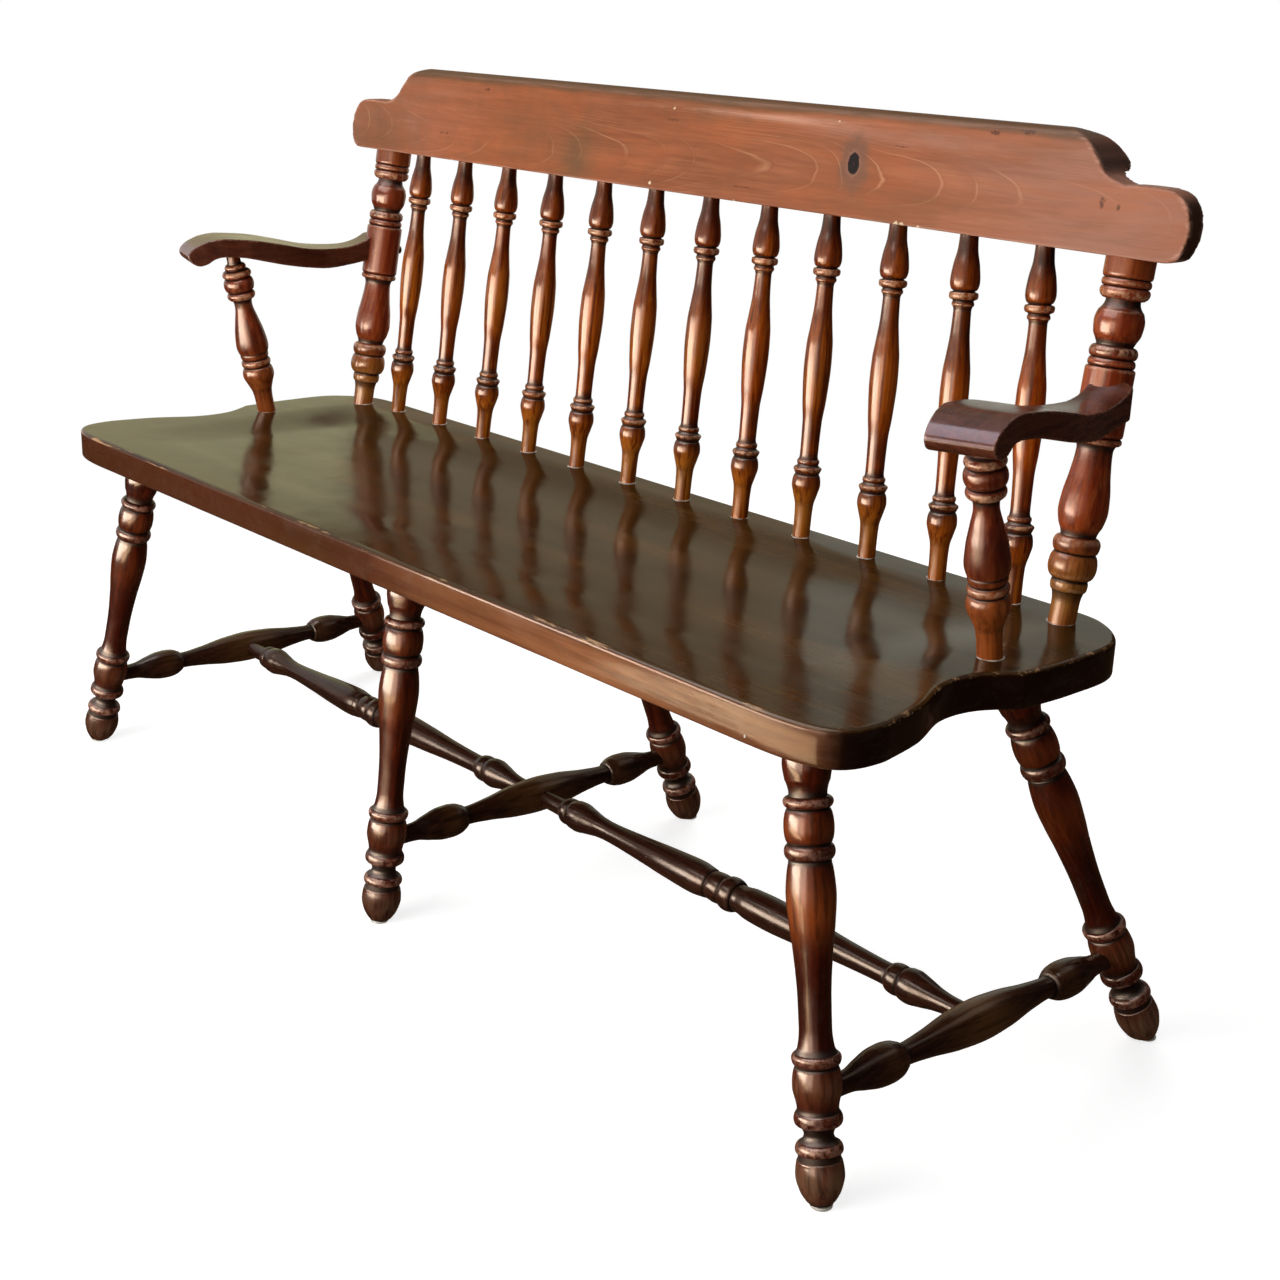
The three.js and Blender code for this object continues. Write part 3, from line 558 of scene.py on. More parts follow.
arm_post_stations = [
    (-0.015, 0.56), (0.08, 0.565), (0.135, 0.61), (0.185, 0.78), (0.246, 0.98),
    (0.298, 0.76, "b"), (0.322, 0.92, "b"), (0.345, 0.73, "b"), (0.37, 0.88, "b"), (0.385, 0.85, "b"),
    (0.395, 0.93, "b"), (0.43, 1.0), (0.52, 0.9), (0.6, 0.72), (0.685, 0.55),
    (0.715, 0.58), (0.724, 0.66, "l"), (0.75, 0.87, "b"), (0.773, 0.68, "b"), (0.818, 0.94, "b"),
    (0.86, 0.7, "b"), (0.882, 0.9, "b"), (0.908, 0.6, "b"), (0.925, 0.66, "b"), (0.945, 0.44, "b"),
    (1.0, 0.41), (1.02, 0.41),
]
leg_stations = [
    (-0.02, 0.66), (0.012, 0.68), (0.032, 0.86), (0.066, 0.985), (0.1, 0.9),
    (0.133, 0.76, "c"), (0.1445, 1.0, "b"), (0.1575, 0.79, "b"), (0.198, 1.0, "b"), (0.232, 0.82, "b"),
    (0.248, 1.015, "b"), (0.265, 0.82, "b"), (0.272, 0.86, "b"), (0.3, 0.95), (0.338, 1.0),
    (0.4, 0.92), (0.454, 0.8), (0.56, 0.67), (0.62, 0.66), (0.662, 0.75),
    (0.672, 0.84, "l"), (0.682, 1.0, "b"), (0.699, 0.81, "b"), (0.742, 1.0, "b"), (0.79, 0.84),
    (0.797, 0.86, "l"), (0.813, 0.985, "b"), (0.826, 0.8, "b"), (0.845, 0.6, "c"), (0.862, 0.8, "c"),
    (0.877, 0.97, "b"), (0.885, 0.86, "b"), (0.8985, 0.86, "l"), (0.904, 0.93, "b"), (0.932, 0.99),
    (0.964, 0.85), (0.986, 0.62), (0.994, 0.5),
]
cross_half = [
    (0.02, 0.48), (0.06, 0.485), (0.09, 0.52), (0.13, 0.72), (0.175, 0.91),
    (0.2, 0.93), (0.222, 0.88), (0.243, 0.7), (0.25, 0.52, "b"), (0.262, 0.52),
    (0.33, 0.64), (0.42, 0.9), (0.5, 1.0),
]
medial_stations = [
    (0.018, 0.515), (0.06, 0.53), (0.083, 0.58), (0.087, 0.7, "l"), (0.096, 0.83, "b"),
    (0.104, 0.77, "b"), (0.126, 0.93, "b"), (0.145, 0.82), (0.18, 0.63), (0.2, 0.6),
    (0.28, 0.72), (0.36, 0.9), (0.42, 0.985), (0.445, 0.9), (0.456, 0.76, "b"),
    (0.475, 0.88, "b"), (0.487, 0.76, "b"), (0.501, 1.0, "b"), (0.517, 0.75, "b"), (0.528, 0.8, "b"),
    (0.55, 0.92), (0.59, 0.955), (0.66, 0.86), (0.76, 0.66), (0.825, 0.6),
    (0.838, 0.62), (0.853, 0.85, "b"), (0.864, 0.76, "b"), (0.882, 0.93, "b"), (0.9, 0.82),
    (0.93, 0.6), (0.95, 0.53), (0.982, 0.515),
]


# The ends of each turned piece's axis
def axis_ends(sign, axis, start_height, stop_height):
    start, stop = axis
    return (
        at(sign * start[0] * mm, start[1] * mm, start_height),
        at(sign * stop[0] * mm, stop[1] * mm, stop_height),
    )


def spindle_ends(index):
    aside = 2 * index / (spindle_count - 1) - 1
    return (
        at(aside * spindle_feet_reach, 0, seat_top),
        at(aside * spindle_tops_reach, spindle_tops_back, crest_underside),
    )


def post_ends(sign):
    return axis_ends(sign, post_axis, seat_top, crest_underside)


def arm_post_ends(sign):
    return axis_ends(sign, arm_post_axis, seat_top, arm_low + arm_post_share * arm_rise)


def leg_ends(row, sign):
    return axis_ends(sign, leg_axes[row], seat_underside, 0)


def cross_ends(sign):
    pair = [leg_ends(row, sign) for row in ("front", "back")]
    return [top.lerp(foot, cross_share) for top, foot in pair]


def cross_middle(sign):
    front, back = cross_ends(sign)
    return front.lerp(back, 0.5)


def barrel_places(stations):
    """The post's stations, with its barrel kept level with the arm."""
    foot = barrel_foot / back_height
    top = foot + barrel_height / back_height
    starts, stops = barrel_shares
    moved = []
    for share, *rest in stations:
        if share <= starts:
            share = share / starts * foot
        elif share >= stops:
            share = 1 - (1 - share) / (1 - stops) * (1 - top)
        moved.append((share, *rest))
    return moved


# The turned pieces
def turning(cad_node, slot, ends, stations, radius, material, lowest=None, **looks):
    start, end = ends
    along, out = profile(stations, (end - start).length, radius)
    piece = turned(f"{cad_node}_turning", start, end, along, out, material, **looks)
    if lowest:
        for point in piece.data.vertices:
            point.co.z = max(point.co.z, lowest)
    stand_in_for(piece, cad_node)


for index in range(spindle_count):
    golden = pooled((0.07, 0.1, random.uniform(0.55, 1.0)), (0.5, 0.12, random.uniform(0.0, 0.55)))
    dark = pooled(
        (0.2, 0.035, random.uniform(0.6, 1.0)), (0.25, 0.03, 0.8), (0.86, 0.03, 0.5),
        (0.95, 0.09, 1.0), (0.72, 0.11, random.uniform(0.35, 1.0)),
        (0.32, 0.06, random.uniform(0.2, 0.8)),
    )
    turning(f"spindle_{index + 1:02d}", "spindle", spindle_ends(index), spindle_stations,
            spindle_radius, spindle_wood, tone=golden, shade=dark)

for sign, side in both_sides:
    dull = sign < 0
    turning(f"post_{side}", "post", post_ends(sign), barrel_places(post_stations), post_radius,
            post_wood, sides=56, tone=pooled((0.09, 0.12, 0.95), (0.97, 0.05, 0.2)),
            shade=pooled((0.075, 0.012, 0.6), (0.22, 0.02, 0.5), (0.47, 0.03, 0.5), (0.75, 0.02, 0.8),
                         (0.86, 0.02, 0.5), (0.7, 0.5, 0.4 if dull else 0.0)))
    turning(f"arm_post_{side}", "post", arm_post_ends(sign), arm_post_stations, arm_post_radius,
            post_wood, sides=56, tone=fade(0.05, 0.12, 0.35),
            shade=pooled((0.5, 0.2, 0.8), (0.69, 0.04, 0.6), (0.8, 0.12, 0.6),
                         (0.6, 0.6, 0.6 if dull else 0.0)))

for row, sign, side in legs:
    # Painted light: the tone at the upper vase is a warm painted highlight, strongest on the front
    # right leg, and the shade down the lower taper is painted shade. The shade at the rings is pooled
    # stain, and the left and middle legs are darker all along.
    warm = 0.75 if row == "front" and sign > 0 else 0.2
    turning(f"leg_{row}_{side}", "leg", leg_ends(row, sign), leg_stations, leg_radius, leg_wood,
            leg_clearance, sides=52,
            tone=pooled((0.37, 0.06, warm), (0.2, 0.03, 0.3), (0.74, 0.04, 0.2)),
            shade=pooled((0.12, 0.02, 0.6), (0.26, 0.02, 0.6), (0.56, 0.1, 0.75), (0.84, 0.03, 0.9),
                         (0.5, 2.0, 0.1 if sign > 0 else 0.5)),
            bare=pooled((0.745, 0.03, 0.4), (0.95, 0.05, 0.85)))

cross_stations = cross_half + [
    (1 - near[0], near[1], kind_of(far)) for near, far in zip(cross_half[-2::-1], cross_half[:0:-1])
]
# The tone in the middle of each cross stretcher is a painted highlight
for sign, side in three_places:
    turning(f"cross_stretcher_{side}", "stretcher", cross_ends(sign), cross_stations, cross_radius,
            stretcher_wood, sides=44,
            tone=pooled((0.5, 0.1, 0.65), (0.2, 0.03, 0.3), (0.8, 0.03, 0.3)))
for sign, side in both_sides:
    ends = cross_middle(min(sign, 0)), cross_middle(max(sign, 0))
    turning(f"medial_stretcher_{side}", "stretcher", ends, medial_stations, medial_radius,
            stretcher_wood, sides=44)


# Outlines
def bezier(points, count):
    a, b, c, d = [np.array(p, float) for p in points]
    t = np.linspace(0, 1, count)[:, None]
    return a * (1 - t) ** 3 + 3 * b * t * (1 - t) ** 2 + 3 * c * t ** 2 * (1 - t) + d * t ** 3


def spline(points, count):
    """A smooth line through points, the same Catmull-Rom curve that the part's source draws."""
    points = [np.array(p, float) for p in points]
    last = len(points) - 1
    drawn = []
    for place in np.linspace(0, last, count):
        i = min(int(place), last - 1)
        t = place - i
        p0, p1, p2, p3 = (points[max(0, min(last, i + k))] for k in (-1, 0, 1, 2))
        v0, v1 = (p2 - p0) / 2, (p3 - p1) / 2
        drawn.append((2 * p1 - 2 * p2 + v0 + v1) * t ** 3 + (-3 * p1 + 3 * p2 - 2 * v0 - v1) * t ** 2
                     + v0 * t + p1)
    return np.array(drawn)


def without_repeats(points, least=0.05 * mm):
    kept = [points[0]]
    for point in points[1:]:
        if np.linalg.norm(point - kept[-1]) > least:
            kept.append(point)
    if np.linalg.norm(kept[0] - kept[-1]) < least:
        kept.pop()
    return np.array(kept)


def even(points, spacing):
    closed = np.vstack([points, points[:1]])
    run = np.concatenate([[0], np.cumsum(np.linalg.norm(np.diff(closed, axis=0), axis=1))])
    count = int(run[-1] / spacing)
    marks = np.arange(count) * run[-1] / count
    return np.stack([np.interp(marks, run, closed[:, k]) for k in range(closed.shape[1])], axis=1)


def mirrored(half):
    """The closed outline that a right half makes with its mirror image."""
    return np.vstack([half, half[::-1] * (-1, 1)])


# The seat
def seat_outline():
    half = np.vstack([
        bezier([[0.85, 0], [0.985, 0], [1, 0.045], [1, 0.15]], 60),
        spline([[1, 0.15], [0.983, 0.27], [0.951, 0.39], [0.953, 0.49], [0.986, 0.58]], 70),
        spline([[0.986, 0.58], [0.991, 0.73], [0.98, 0.885], [0.91, 0.985], [0.813, 1]], 80),
    ]) * (seat_half_length, seat_depth) + (0, seat_front)
    return even(without_repeats(mirrored(half)), rim_step)


def filled(border, spacing):
    """Points spread evenly inside a closed line, and the triangles that join them and the line."""
    count = len(border)
    low = np.min(np.array(border), axis=0)
    high = np.max(np.array(border), axis=0)
    line = np.array(border)
    inner = []
    for row, y in enumerate(np.arange(low[1] + spacing / 2, high[1], spacing * 0.87)):
        ahead = np.roll(line, -1, axis=0)
        spans = (line[:, 1] > y) != (ahead[:, 1] > y)
        a, b = line[spans], ahead[spans]
        crossings = np.sort(a[:, 0] + (y - a[:, 1]) * (b[:, 0] - a[:, 0]) / (b[:, 1] - a[:, 1]))
        for start, end in zip(crossings[::2], crossings[1::2]):
            first = math.ceil((start + spacing * 0.6) / spacing) + 0.5 * (row % 2)
            x = first * spacing
            while x < end - spacing * 0.6:
                inner.append(Vector((x, y)))
                x += spacing
    edges = [(k, (k + 1) % count) for k in range(count)]
    made = delaunay_2d_cdt([*border, *inner], edges, [], 1, 1e-6)
    return [tuple(v) for v in made[0][count:]], [tuple(face) for face in made[2]]


def seat_hollow(x, y):
    """How far the seat is worked down in front of the spindles, with slow waves left by the plane."""
    ahead = (back_line - y) / mm
    line = np.arange(0, 400, 0.5)
    slope = np.interp(line, [0, 6, 24, 45, 85, 110, 345, 378],
                      [0, 0, 0.15, 0.15, 0.02, -0.03, -0.03, 0])
    depth = np.interp(ahead, line, np.clip(np.cumsum(slope) * 0.5, 0, None))
    inside = np.clip((0.598 - np.abs(x)) / 0.1, 0, 1)
    share = inside * inside * (3 - 2 * inside) * np.clip((378 - ahead) / 60, 0, 1)
    waves = 0.1 * (1 + np.sin(x * 19 + 2 * np.sin(y * 11)) * np.sin(y * 31 + x * 5))
    return (depth + waves * np.clip(ahead / 30, 0, 1)) * share * mm


def seat():
    edge = seat_outline()
    ahead = np.roll(edge, -1, axis=0) - np.roll(edge, 1, axis=0)
    ahead /= np.linalg.norm(ahead, axis=1)[:, None]
    outward = np.stack([ahead[:, 1], -ahead[:, 0]], axis=1)
    count = len(edge)
    round_top, round_under = 4.5 * mm, 3.5 * mm
    flat_margin = 3 * mm
    low, high = seat_underside + round_under, seat_top - round_top
    rings = [(round_under + flat_margin, seat_underside)]
    for turn in np.linspace(0, math.pi / 2, 7):
        rings.append((round_under * (1 - math.sin(turn)), low - round_under * math.cos(turn)))
    rings += [(0.0, low + (high - low) * share) for share in (0.2, 0.4, 0.6, 0.8)]
    for turn in np.linspace(0, math.pi / 2, 9):
        rings.append((round_top * (1 - math.cos(turn)), high + round_top * math.sin(turn)))
    rings.append((round_top + flat_margin, seat_top))
    run = np.arange(count) * rim_step
    ripple = 0.06 * mm * (np.sin(run / 0.061) + np.sin(run / 0.023 + 1.7))
    vertices, wear = [], []
    for inset, height in rings:
        moved = edge - outward * (inset + ripple + 0.12 * mm)[:, None]
        vertices += [(x, y, height) for x, y in moved]
        rub = 1.0 if seat_top - round_top * 0.62 < height and inset < round_top * 0.9 else 0.0
        if height < seat_underside + 1.5 * mm and inset < round_under:
            rub = 0.7
        wear += [rub] * count
    faces = tube_faces(len(rings), count)
    for level, spacing in ((0, 20 * mm), (len(rings) - 1, 7 * mm)):
        first = level * count
        border = [Vector(v[:2]) for v in vertices[first:first + count]]
        inner, triangles = filled(border, spacing)
        first_inner = len(vertices)
        vertices += [(x, y, rings[level][1]) for x, y in inner]
        wear += [0.0] * len(inner)
        for triangle in triangles:
            face = [first + k if k < count else first_inner + k - count for k in triangle]
            faces.append(face if level else face[::-1])
    vertices = np.array(vertices)
    on_top = vertices[:, 2] > seat_top - 0.01 * mm
    vertices[on_top, 2] -= seat_hollow(vertices[on_top, 0], vertices[on_top, 1])
    piece = mesh_object("seat_plank", vertices, faces, seat_wood, 60)
    spots = per_vertex(piece.data, "co")
    on_rim = len(rings) * count
    facing = np.zeros(len(spots))
    facing[:on_rim] = np.abs(np.tile(outward[:, 0], len(rings)))
    lower = (spots[:, 2] - seat_underside) / (seat_top - seat_underside) < 0.94
    lower[on_rim:] = False
    tan = np.clip(1 - np.abs(spots[:, 0] - 0.36) / 0.34, 0, 1) ** 0.6
    tan *= spots[:, 1] < seat_front + 20 * mm
    endgrain = np.clip((facing - 0.3) / 0.5, 0, 1)
    store(piece, grain_place=np.stack([spots[:, 1] * 0.6, spots[:, 2] - 0.5, spots[:, 0]], axis=1),
          wear=wear, tone=lower, tan=lower * tan, endgrain=endgrain * lower)
    stand_in_for(piece, "seat")


seat()


# Sawn pieces: an outline cut through another, then eased along its edges
def prism(name, outline, axis, low, high):
    """The outline, in the two axes left, run along the third from low to high."""
    count = len(outline)
    spots = np.insert(np.vstack([outline, outline]), axis, np.repeat([low, high], count), axis=1)
    shape = bmesh.new()
    points = [shape.verts.new(spot) for spot in spots]
    for face in (range(count), range(count, 2 * count), *tube_faces(2, count)):
        shape.faces.new([points[k] for k in face])
    bmesh.ops.recalc_face_normals(shape, faces=shape.faces)
    mesh = bpy.data.meshes.new(name)
    shape.to_mesh(mesh)
    shape.free()
    return linked(name, mesh)


def applied(made):
    graph = bpy.context.evaluated_depsgraph_get()
    mesh = bpy.data.meshes.new_from_object(made.evaluated_get(graph), depsgraph=graph)
    old = made.data
    made.modifiers.clear()
    made.data = mesh
    bpy.data.meshes.remove(old)


def cut(body, tool, operation):
    change = body.modifiers.new("cut", "BOOLEAN")
    change.operation = operation
    change.solver = "EXACT"
    change.object = tool
    applied(body)
    bpy.data.objects.remove(tool)


def eased(body, voxel, rounds, material, name):
    remesh = body.modifiers.new("remesh", "REMESH")
    remesh.mode = "VOXEL"
    remesh.voxel_size = voxel
    remesh.adaptivity = 0.0
    smooth = body.modifiers.new("ease", "SMOOTH")
    smooth.factor = 0.5
    smooth.iterations = rounds
    applied(body)
    mesh = body.data
    bpy.data.objects.remove(body)
    mesh.name = name
    for layer in [a.name for a in mesh.attributes if a.name in ("sharp_face", "sharp_edge")]:
        mesh.attributes.remove(mesh.attributes[layer])
    return finish_object(name, mesh, material, 0)


def crest_section():
    roll = spline([[0.19, 0.85], [0.26, 0.96], [0.5, 1], [0.82, 0.93], [0.99, 0.81], [0.99, 0.72],
                   [0.88, 0.67], [0.72, 0.66]], 90)
    roll = roll * (crest_roll_depth, crest_height) + (crest_setback, 0)
    neck = [crest_setback + 0.66 * crest_lean + crest_thickness, 0.58 * crest_height]
    points = np.array([[crest_setback, 0], [crest_setback + crest_thickness, 0], neck, *roll[::-1]])
    return points + (back_line, crest_underside)


def crest_outline():
    ear = spline([[0.966, 0], [0.987, 0.045], [0.998, 0.25], [0.989, 0.46], [0.966, 0.57],
                  [0.925, 0.592], [0.884, 0.585]], 70)
    step = spline([[0.884, 0.585], [0.853, 0.65], [0.832, 0.79], [0.808, 0.93], [0.772, 1]], 50)
    half = np.vstack([ear, step[1:], step[-1:]])
    half = half * (crest_half_length, crest_height) + (0, crest_underside)
    half[-1, 1] += 12 * mm
    half[0, 1] -= 4 * mm
    return without_repeats(mirrored(half))


def blobs(x, up, spots):
    """Soft spots: each has a place along the rail and up it, a width, a height and a strength."""
    total = np.zeros(len(x))
    for place, height, wide, tall, strength in spots:
        total += strength * np.exp(-(((x - place) / wide) ** 2 + ((up - height) / tall) ** 2))
    return total


def crest_rail():
    body = prism("crest_blank", crest_section(), 0, -0.7, 0.7)
    cut(body, prism("crest_cut", crest_outline(), 1, back_line - 0.05, back_line + 0.15), "INTERSECT")
    piece = eased(body, 1.7 * mm, 5, crest_wood, "crest_rail_board")
    spots = per_vertex(piece.data, "co")
    x = spots[:, 0]
    up = spots[:, 2] - crest_underside
    height = up / crest_height
    back = spots[:, 1] - back_line
    off_heart = np.abs(up - (0.34 + 0.05 * np.sin(x * 5)) * crest_height)
    bend = 0.06 * (off_heart / 0.031) ** 2 + 0.1 * (off_heart / 0.034) ** 4
    ring = (x + bend + 0.016 * np.sin(x * 31) + 0.02 * np.sin(x * 13 + 1)) / 0.074
    ring += 1.5 * np.abs(back - crest_setback - crest_lean * height) / 0.03
    knot = np.hypot((x - knot_x) / (7.5 * mm), (up - 0.5 * crest_height) / (10 * mm))
    ring += 0.8 * np.exp(-((knot / 3.2) ** 2)) * np.sign(knot_x - x)
    stain = blobs(x, up, (
        (-0.178, 0.02, 0.03, 0.03, 0.9), (-0.26, 0.05, 0.12, 0.05, 0.45),
        (-0.58, 0.03, 0.09, 0.06, 0.55), (0.05, 0.09, 0.09, 0.012, 0.5),
        (0.33, 0.015, 0.08, 0.02, 0.3),
    ))
    marks = (
        (0.424, 0.9, 9, 3), (0.462, 0.93, 12, 3), (-0.36, 0.84, 7, 3), (0.555, 0.42, 4, 8),
        (0.573, 0.4, 3, 5), (0.1, 0.15, 22, 1.2), (-0.02, 0.72, 16, 1.4), (0.31, 0.7, 18, 1.2),
        (-0.44, 0.3, 14, 1.4),
    )
    mark = blobs(x, up, [(at_x, up_share * crest_height, wide * mm, tall * mm, 1)
                         for at_x, up_share, wide, tall in marks])
    chips = (
        (-0.046, 0.007, 2.6), (-0.02, 0.089, 1.8), (0.3195, 0.001, 3.2), (0.327, 0.001, 2.6),
        (0.348, 0.001, 2.0), (0.226, 0.092, 1.5), (-0.42, 0.001, 1.6), (0.09, 0.001, 1.5),
    )
    chip = blobs(x, up, [(at_x, height_up, size * mm, size * mm, 1)
                         for at_x, height_up, size in chips])
    in_front = back < crest_setback + 20 * mm
    # Painted light in the tone layer: a pinkish sheen across the upper face on the right half, and a
    # paler grey reflection towards both ends
    painted_sheen = 0.5 * np.clip((x - 0.12) / 0.15, 0, 1) * np.exp(-(((height - 0.78) / 0.09) ** 2))
    painted_end_reflection = 0.6 * np.clip((x - 0.3) / 0.3, 0, 1) + 0.35 * np.clip((-x - 0.3) / 0.25, 0, 1)
    # Painted highlight: a pale line along the face where it turns into the roll, laid in the worn
    # colour together with the worn edges
    painted_highlight_line = np.exp(-(((height - 0.845) / 0.035) ** 2)) * np.clip(1.2 - np.abs(x - 0.15) / 0.22, 0, 1)
    store(piece, grain_place=np.stack([up, back * 1.5 + 2.0, x], axis=1), ring_path=ring + 40,
          knot=np.where(back < crest_setback + 14 * mm, knot, 9.0), stain=stain,
          # the dark band on the roll's top is painted shade
          band=np.clip((height - 0.86) / 0.1, 0, 1), mark=np.where(in_front, mark, 0.0),
          tone=np.maximum(painted_sheen, painted_end_reflection), chip=np.where(in_front, chip, 0.0),
          wear=0.8 * np.maximum(edge_wear(piece.data, 0.9 * mm), painted_highlight_line),
          endgrain=end_faces(piece.data))
    stand_in_for(piece, "crest_rail")


def end_faces(mesh):
    return np.clip((np.abs(per_vertex(mesh, "normal")[:, 0]) - 0.45) / 0.35, 0, 1)


def edge_wear(mesh, scale):
    """How far each point stands proud of the middle of its neighbours, along its normal."""
    spots = per_vertex(mesh, "co")
    pairs = np.zeros(len(mesh.edges) * 2, np.int32)
    mesh.edges.foreach_get("vertices", pairs)
    pairs = pairs.reshape(-1, 2)

    def summed(values):
        total = np.zeros_like(values)
        for a, b in ((0, 1), (1, 0)):
            np.add.at(total, pairs[:, a], values[pairs[:, b]])
        return total

    count = np.maximum(summed(np.ones(len(spots))), 1)
    proud = ((spots - summed(spots) / count[:, None]) * per_vertex(mesh, "normal")).sum(axis=1)
    for _ in range(3):
        proud = 0.5 * proud + 0.5 * summed(proud) / count
    return np.clip((proud / (scale * 0.1) - 0.25) * 1.3, 0, 1)


crest_rail()


# The arms
def turn_to(axis):
    """The turn that carries the upright onto an axis."""
    return Vector((0, 0, 1)).rotation_difference(axis.normalized()).to_matrix().to_4x4()


def arm(sign, side):
    top = spline([[1.01, 1.04], [0.95, 0.87], [0.895, 0.7], [0.82, 0.59], [0.712, 0.575],
                  [0.597, 0.63], [0.47, 0.78], [0.346, 0.915], [0.24, 0.98], [0.155, 1],
                  [0.087, 0.93]], 90)
    nose = spline([[0.087, 0.93], [0.029, 0.77], [0, 0.565], [0.012, 0.38], [0.053, 0.265],
                   [0.096, 0.33]], 60)
    under = spline([[0.096, 0.33], [0.125, 0.44], [0.165, 0.5], [0.231, 0.488], [0.289, 0.45],
                    [0.385, 0.33], [0.481, 0.21], [0.597, 0.095], [0.715, 0.03], [0.837, 0.09],
                    [0.95, 0.21], [1.01, 0.3]], 90)
    profile_line = np.vstack([top, nose[1:], under[1:]]) * (arm_length, arm_rise) + (0, arm_low)
    outer = spline([[0.817, 0.024], [0.7, 0.11], [0.547, 0.216], [0.417, 0.44], [0.028, 0.665],
                    [-0.306, 0.831], [-0.472, 0.974]], 90)
    inner = spline([[-1.139, 1], [-1.528, 0.966], [-1.472, 0.789], [-1.556, 0.609], [-1.639, 0.368],
                    [-1.333, 0.152], [-0.794, -0.047]], 90)
    plan = np.vstack([outer, inner]) * (arm_half_width, arm_length) + (arm_nose_out, back_line)
    plan = (plan - (0, arm_reach)) * (sign, 1)
    body = prism("arm_blank", without_repeats(profile_line), 0, -0.1, 0.1)
    place = Matrix.Translation((sign * arm_nose_out, back_line - arm_reach, 0))
    body.data.transform(place @ Matrix.Rotation(sign * arm_toe_out, 4, "Z"))
    cut(body, prism("arm_plan", without_repeats(plan), 2, arm_low - 0.02, arm_low + 0.09), "INTERSECT")
    foot, crown = post_ends(sign)
    axis = crown - foot
    turns = np.arange(48) * 2 * math.pi / 48
    ring = np.stack([np.cos(turns), np.sin(turns)], axis=1) * post_radius * 0.99
    cope = prism("arm_cope", ring, 2, axis.length / 3, axis.length)
    cope.data.transform(Matrix.Translation(foot) @ turn_to(axis))
    cut(body, cope, "DIFFERENCE")
    piece = eased(body, 1.0 * mm, 5, arm_wood, f"arm_{side}_board")
    spots = per_vertex(piece.data, "co")
    middle = sign * (arm_nose_out - 0.45 * arm_half_width)
    up = spots[:, 2] - arm_low + 0.03 * sign
    local = np.stack([spots[:, 0] - middle, up, spots[:, 1]], axis=1)
    store(piece, grain_place=local, wear=edge_wear(piece.data, 0.8 * mm) * 0.6,
          endgrain=end_faces(piece.data) * 0.3)
    stand_in_for(piece, f"arm_{side}")


for sign, side in both_sides:
    arm(sign, side)


# Screws, glides and the pale rings of old polish at the feet
def screw(sign, side):
    foot, top = post_ends(sign)
    centre = foot.lerp(top, screw_rise / back_height)
    towards = Vector((sign * 0.42, -1, 0)).normalized()
    face = -post_radius + 1.3 * mm
    steps = np.array([(0.4, -4.6), (2.9, -4.5), (4.4, -3.7), (5.3, -2.2), (5.5, -1.1), (5.5, 0.0),
                      (2.4, 0.3), (2.4, 40.0), (0.6, 45.0)]) * mm
    piece = turned(f"arm_screw_{side}_head", centre, centre + towards,
                   face + steps[:, 1], steps[:, 0], screw_steel, sides=32)
    slot = np.array([(-0.65, -8), (0.65, -8), (0.65, 8), (-0.65, 8)]) * mm
    tool = prism("slot_tool", slot, 2, face - 6 * mm, face - 3.2 * mm)
    tilt = Matrix.Rotation(math.radians(24), 4, "Z")
    tool.data.transform(Matrix.Translation(centre) @ turn_to(towards) @ tilt)
    cut(piece, tool, "DIFFERENCE")
    piece.data.set_sharp_from_angle(angle=math.radians(35))
    stand_in_for(piece, f"arm_screw_{side}")


def glide(row, sign, side):
    foot = leg_ends(row, sign)[1]
    steps = np.array([(2.0, 0.0), (8.6, 0.0), (9.4, 0.2), (9.9, 0.8), (10.0, 1.6), (9.8, 2.4),
                      (9.2, 3.0), (1.6, 3.2), (1.6, 14.0)]) * mm
    piece = turned(f"glide_{row}_{side}_pad", foot, foot + Vector((0, 0, 1)),
                   steps[:, 1], steps[:, 0], glide_plastic, sides=36)
    stand_in_for(piece, f"glide_{row}_{side}")


for sign, side in both_sides:
    screw(sign, side)
for row, sign, side in legs:
    glide(row, sign, side)


def residue(name, centre, radius):
    """An uneven bead of dried polish round a foot, thicker on one side and broken on another."""
    around, ribs = 72, 6
    start = random.uniform(0, 6.28)
    vertices, faces = [], []
    for i in range(around):
        turn = 2 * math.pi * i / around
        lively = 0.55 + 0.45 * math.sin(turn + start) + 0.3 * math.sin(turn * 5 + start * 3)
        wide = max(0.15, lively) * 0.9 * mm
        tall = max(0.1, lively) * 0.55 * mm
        for k in range(ribs):
            lift = math.pi * k / (ribs - 1)
            out = radius + wide * 0.8 - math.cos(lift) * wide
            height = math.sin(lift) * tall - (0.05 * mm if k in (0, ribs - 1) else 0)
            vertices.append(centre + Vector((out * math.cos(turn), out * math.sin(turn), height)))
        j = (i + 1) % around
        for k in range(ribs):
            m = (k + 1) % ribs
            faces.append((i * ribs + k, j * ribs + k, j * ribs + m, i * ribs + m))
    piece = mesh_object(name, vertices, faces, wax, 50)
    store(piece, grain_place=per_vertex(piece.data, "co"))
    stand_in_for(piece, None)


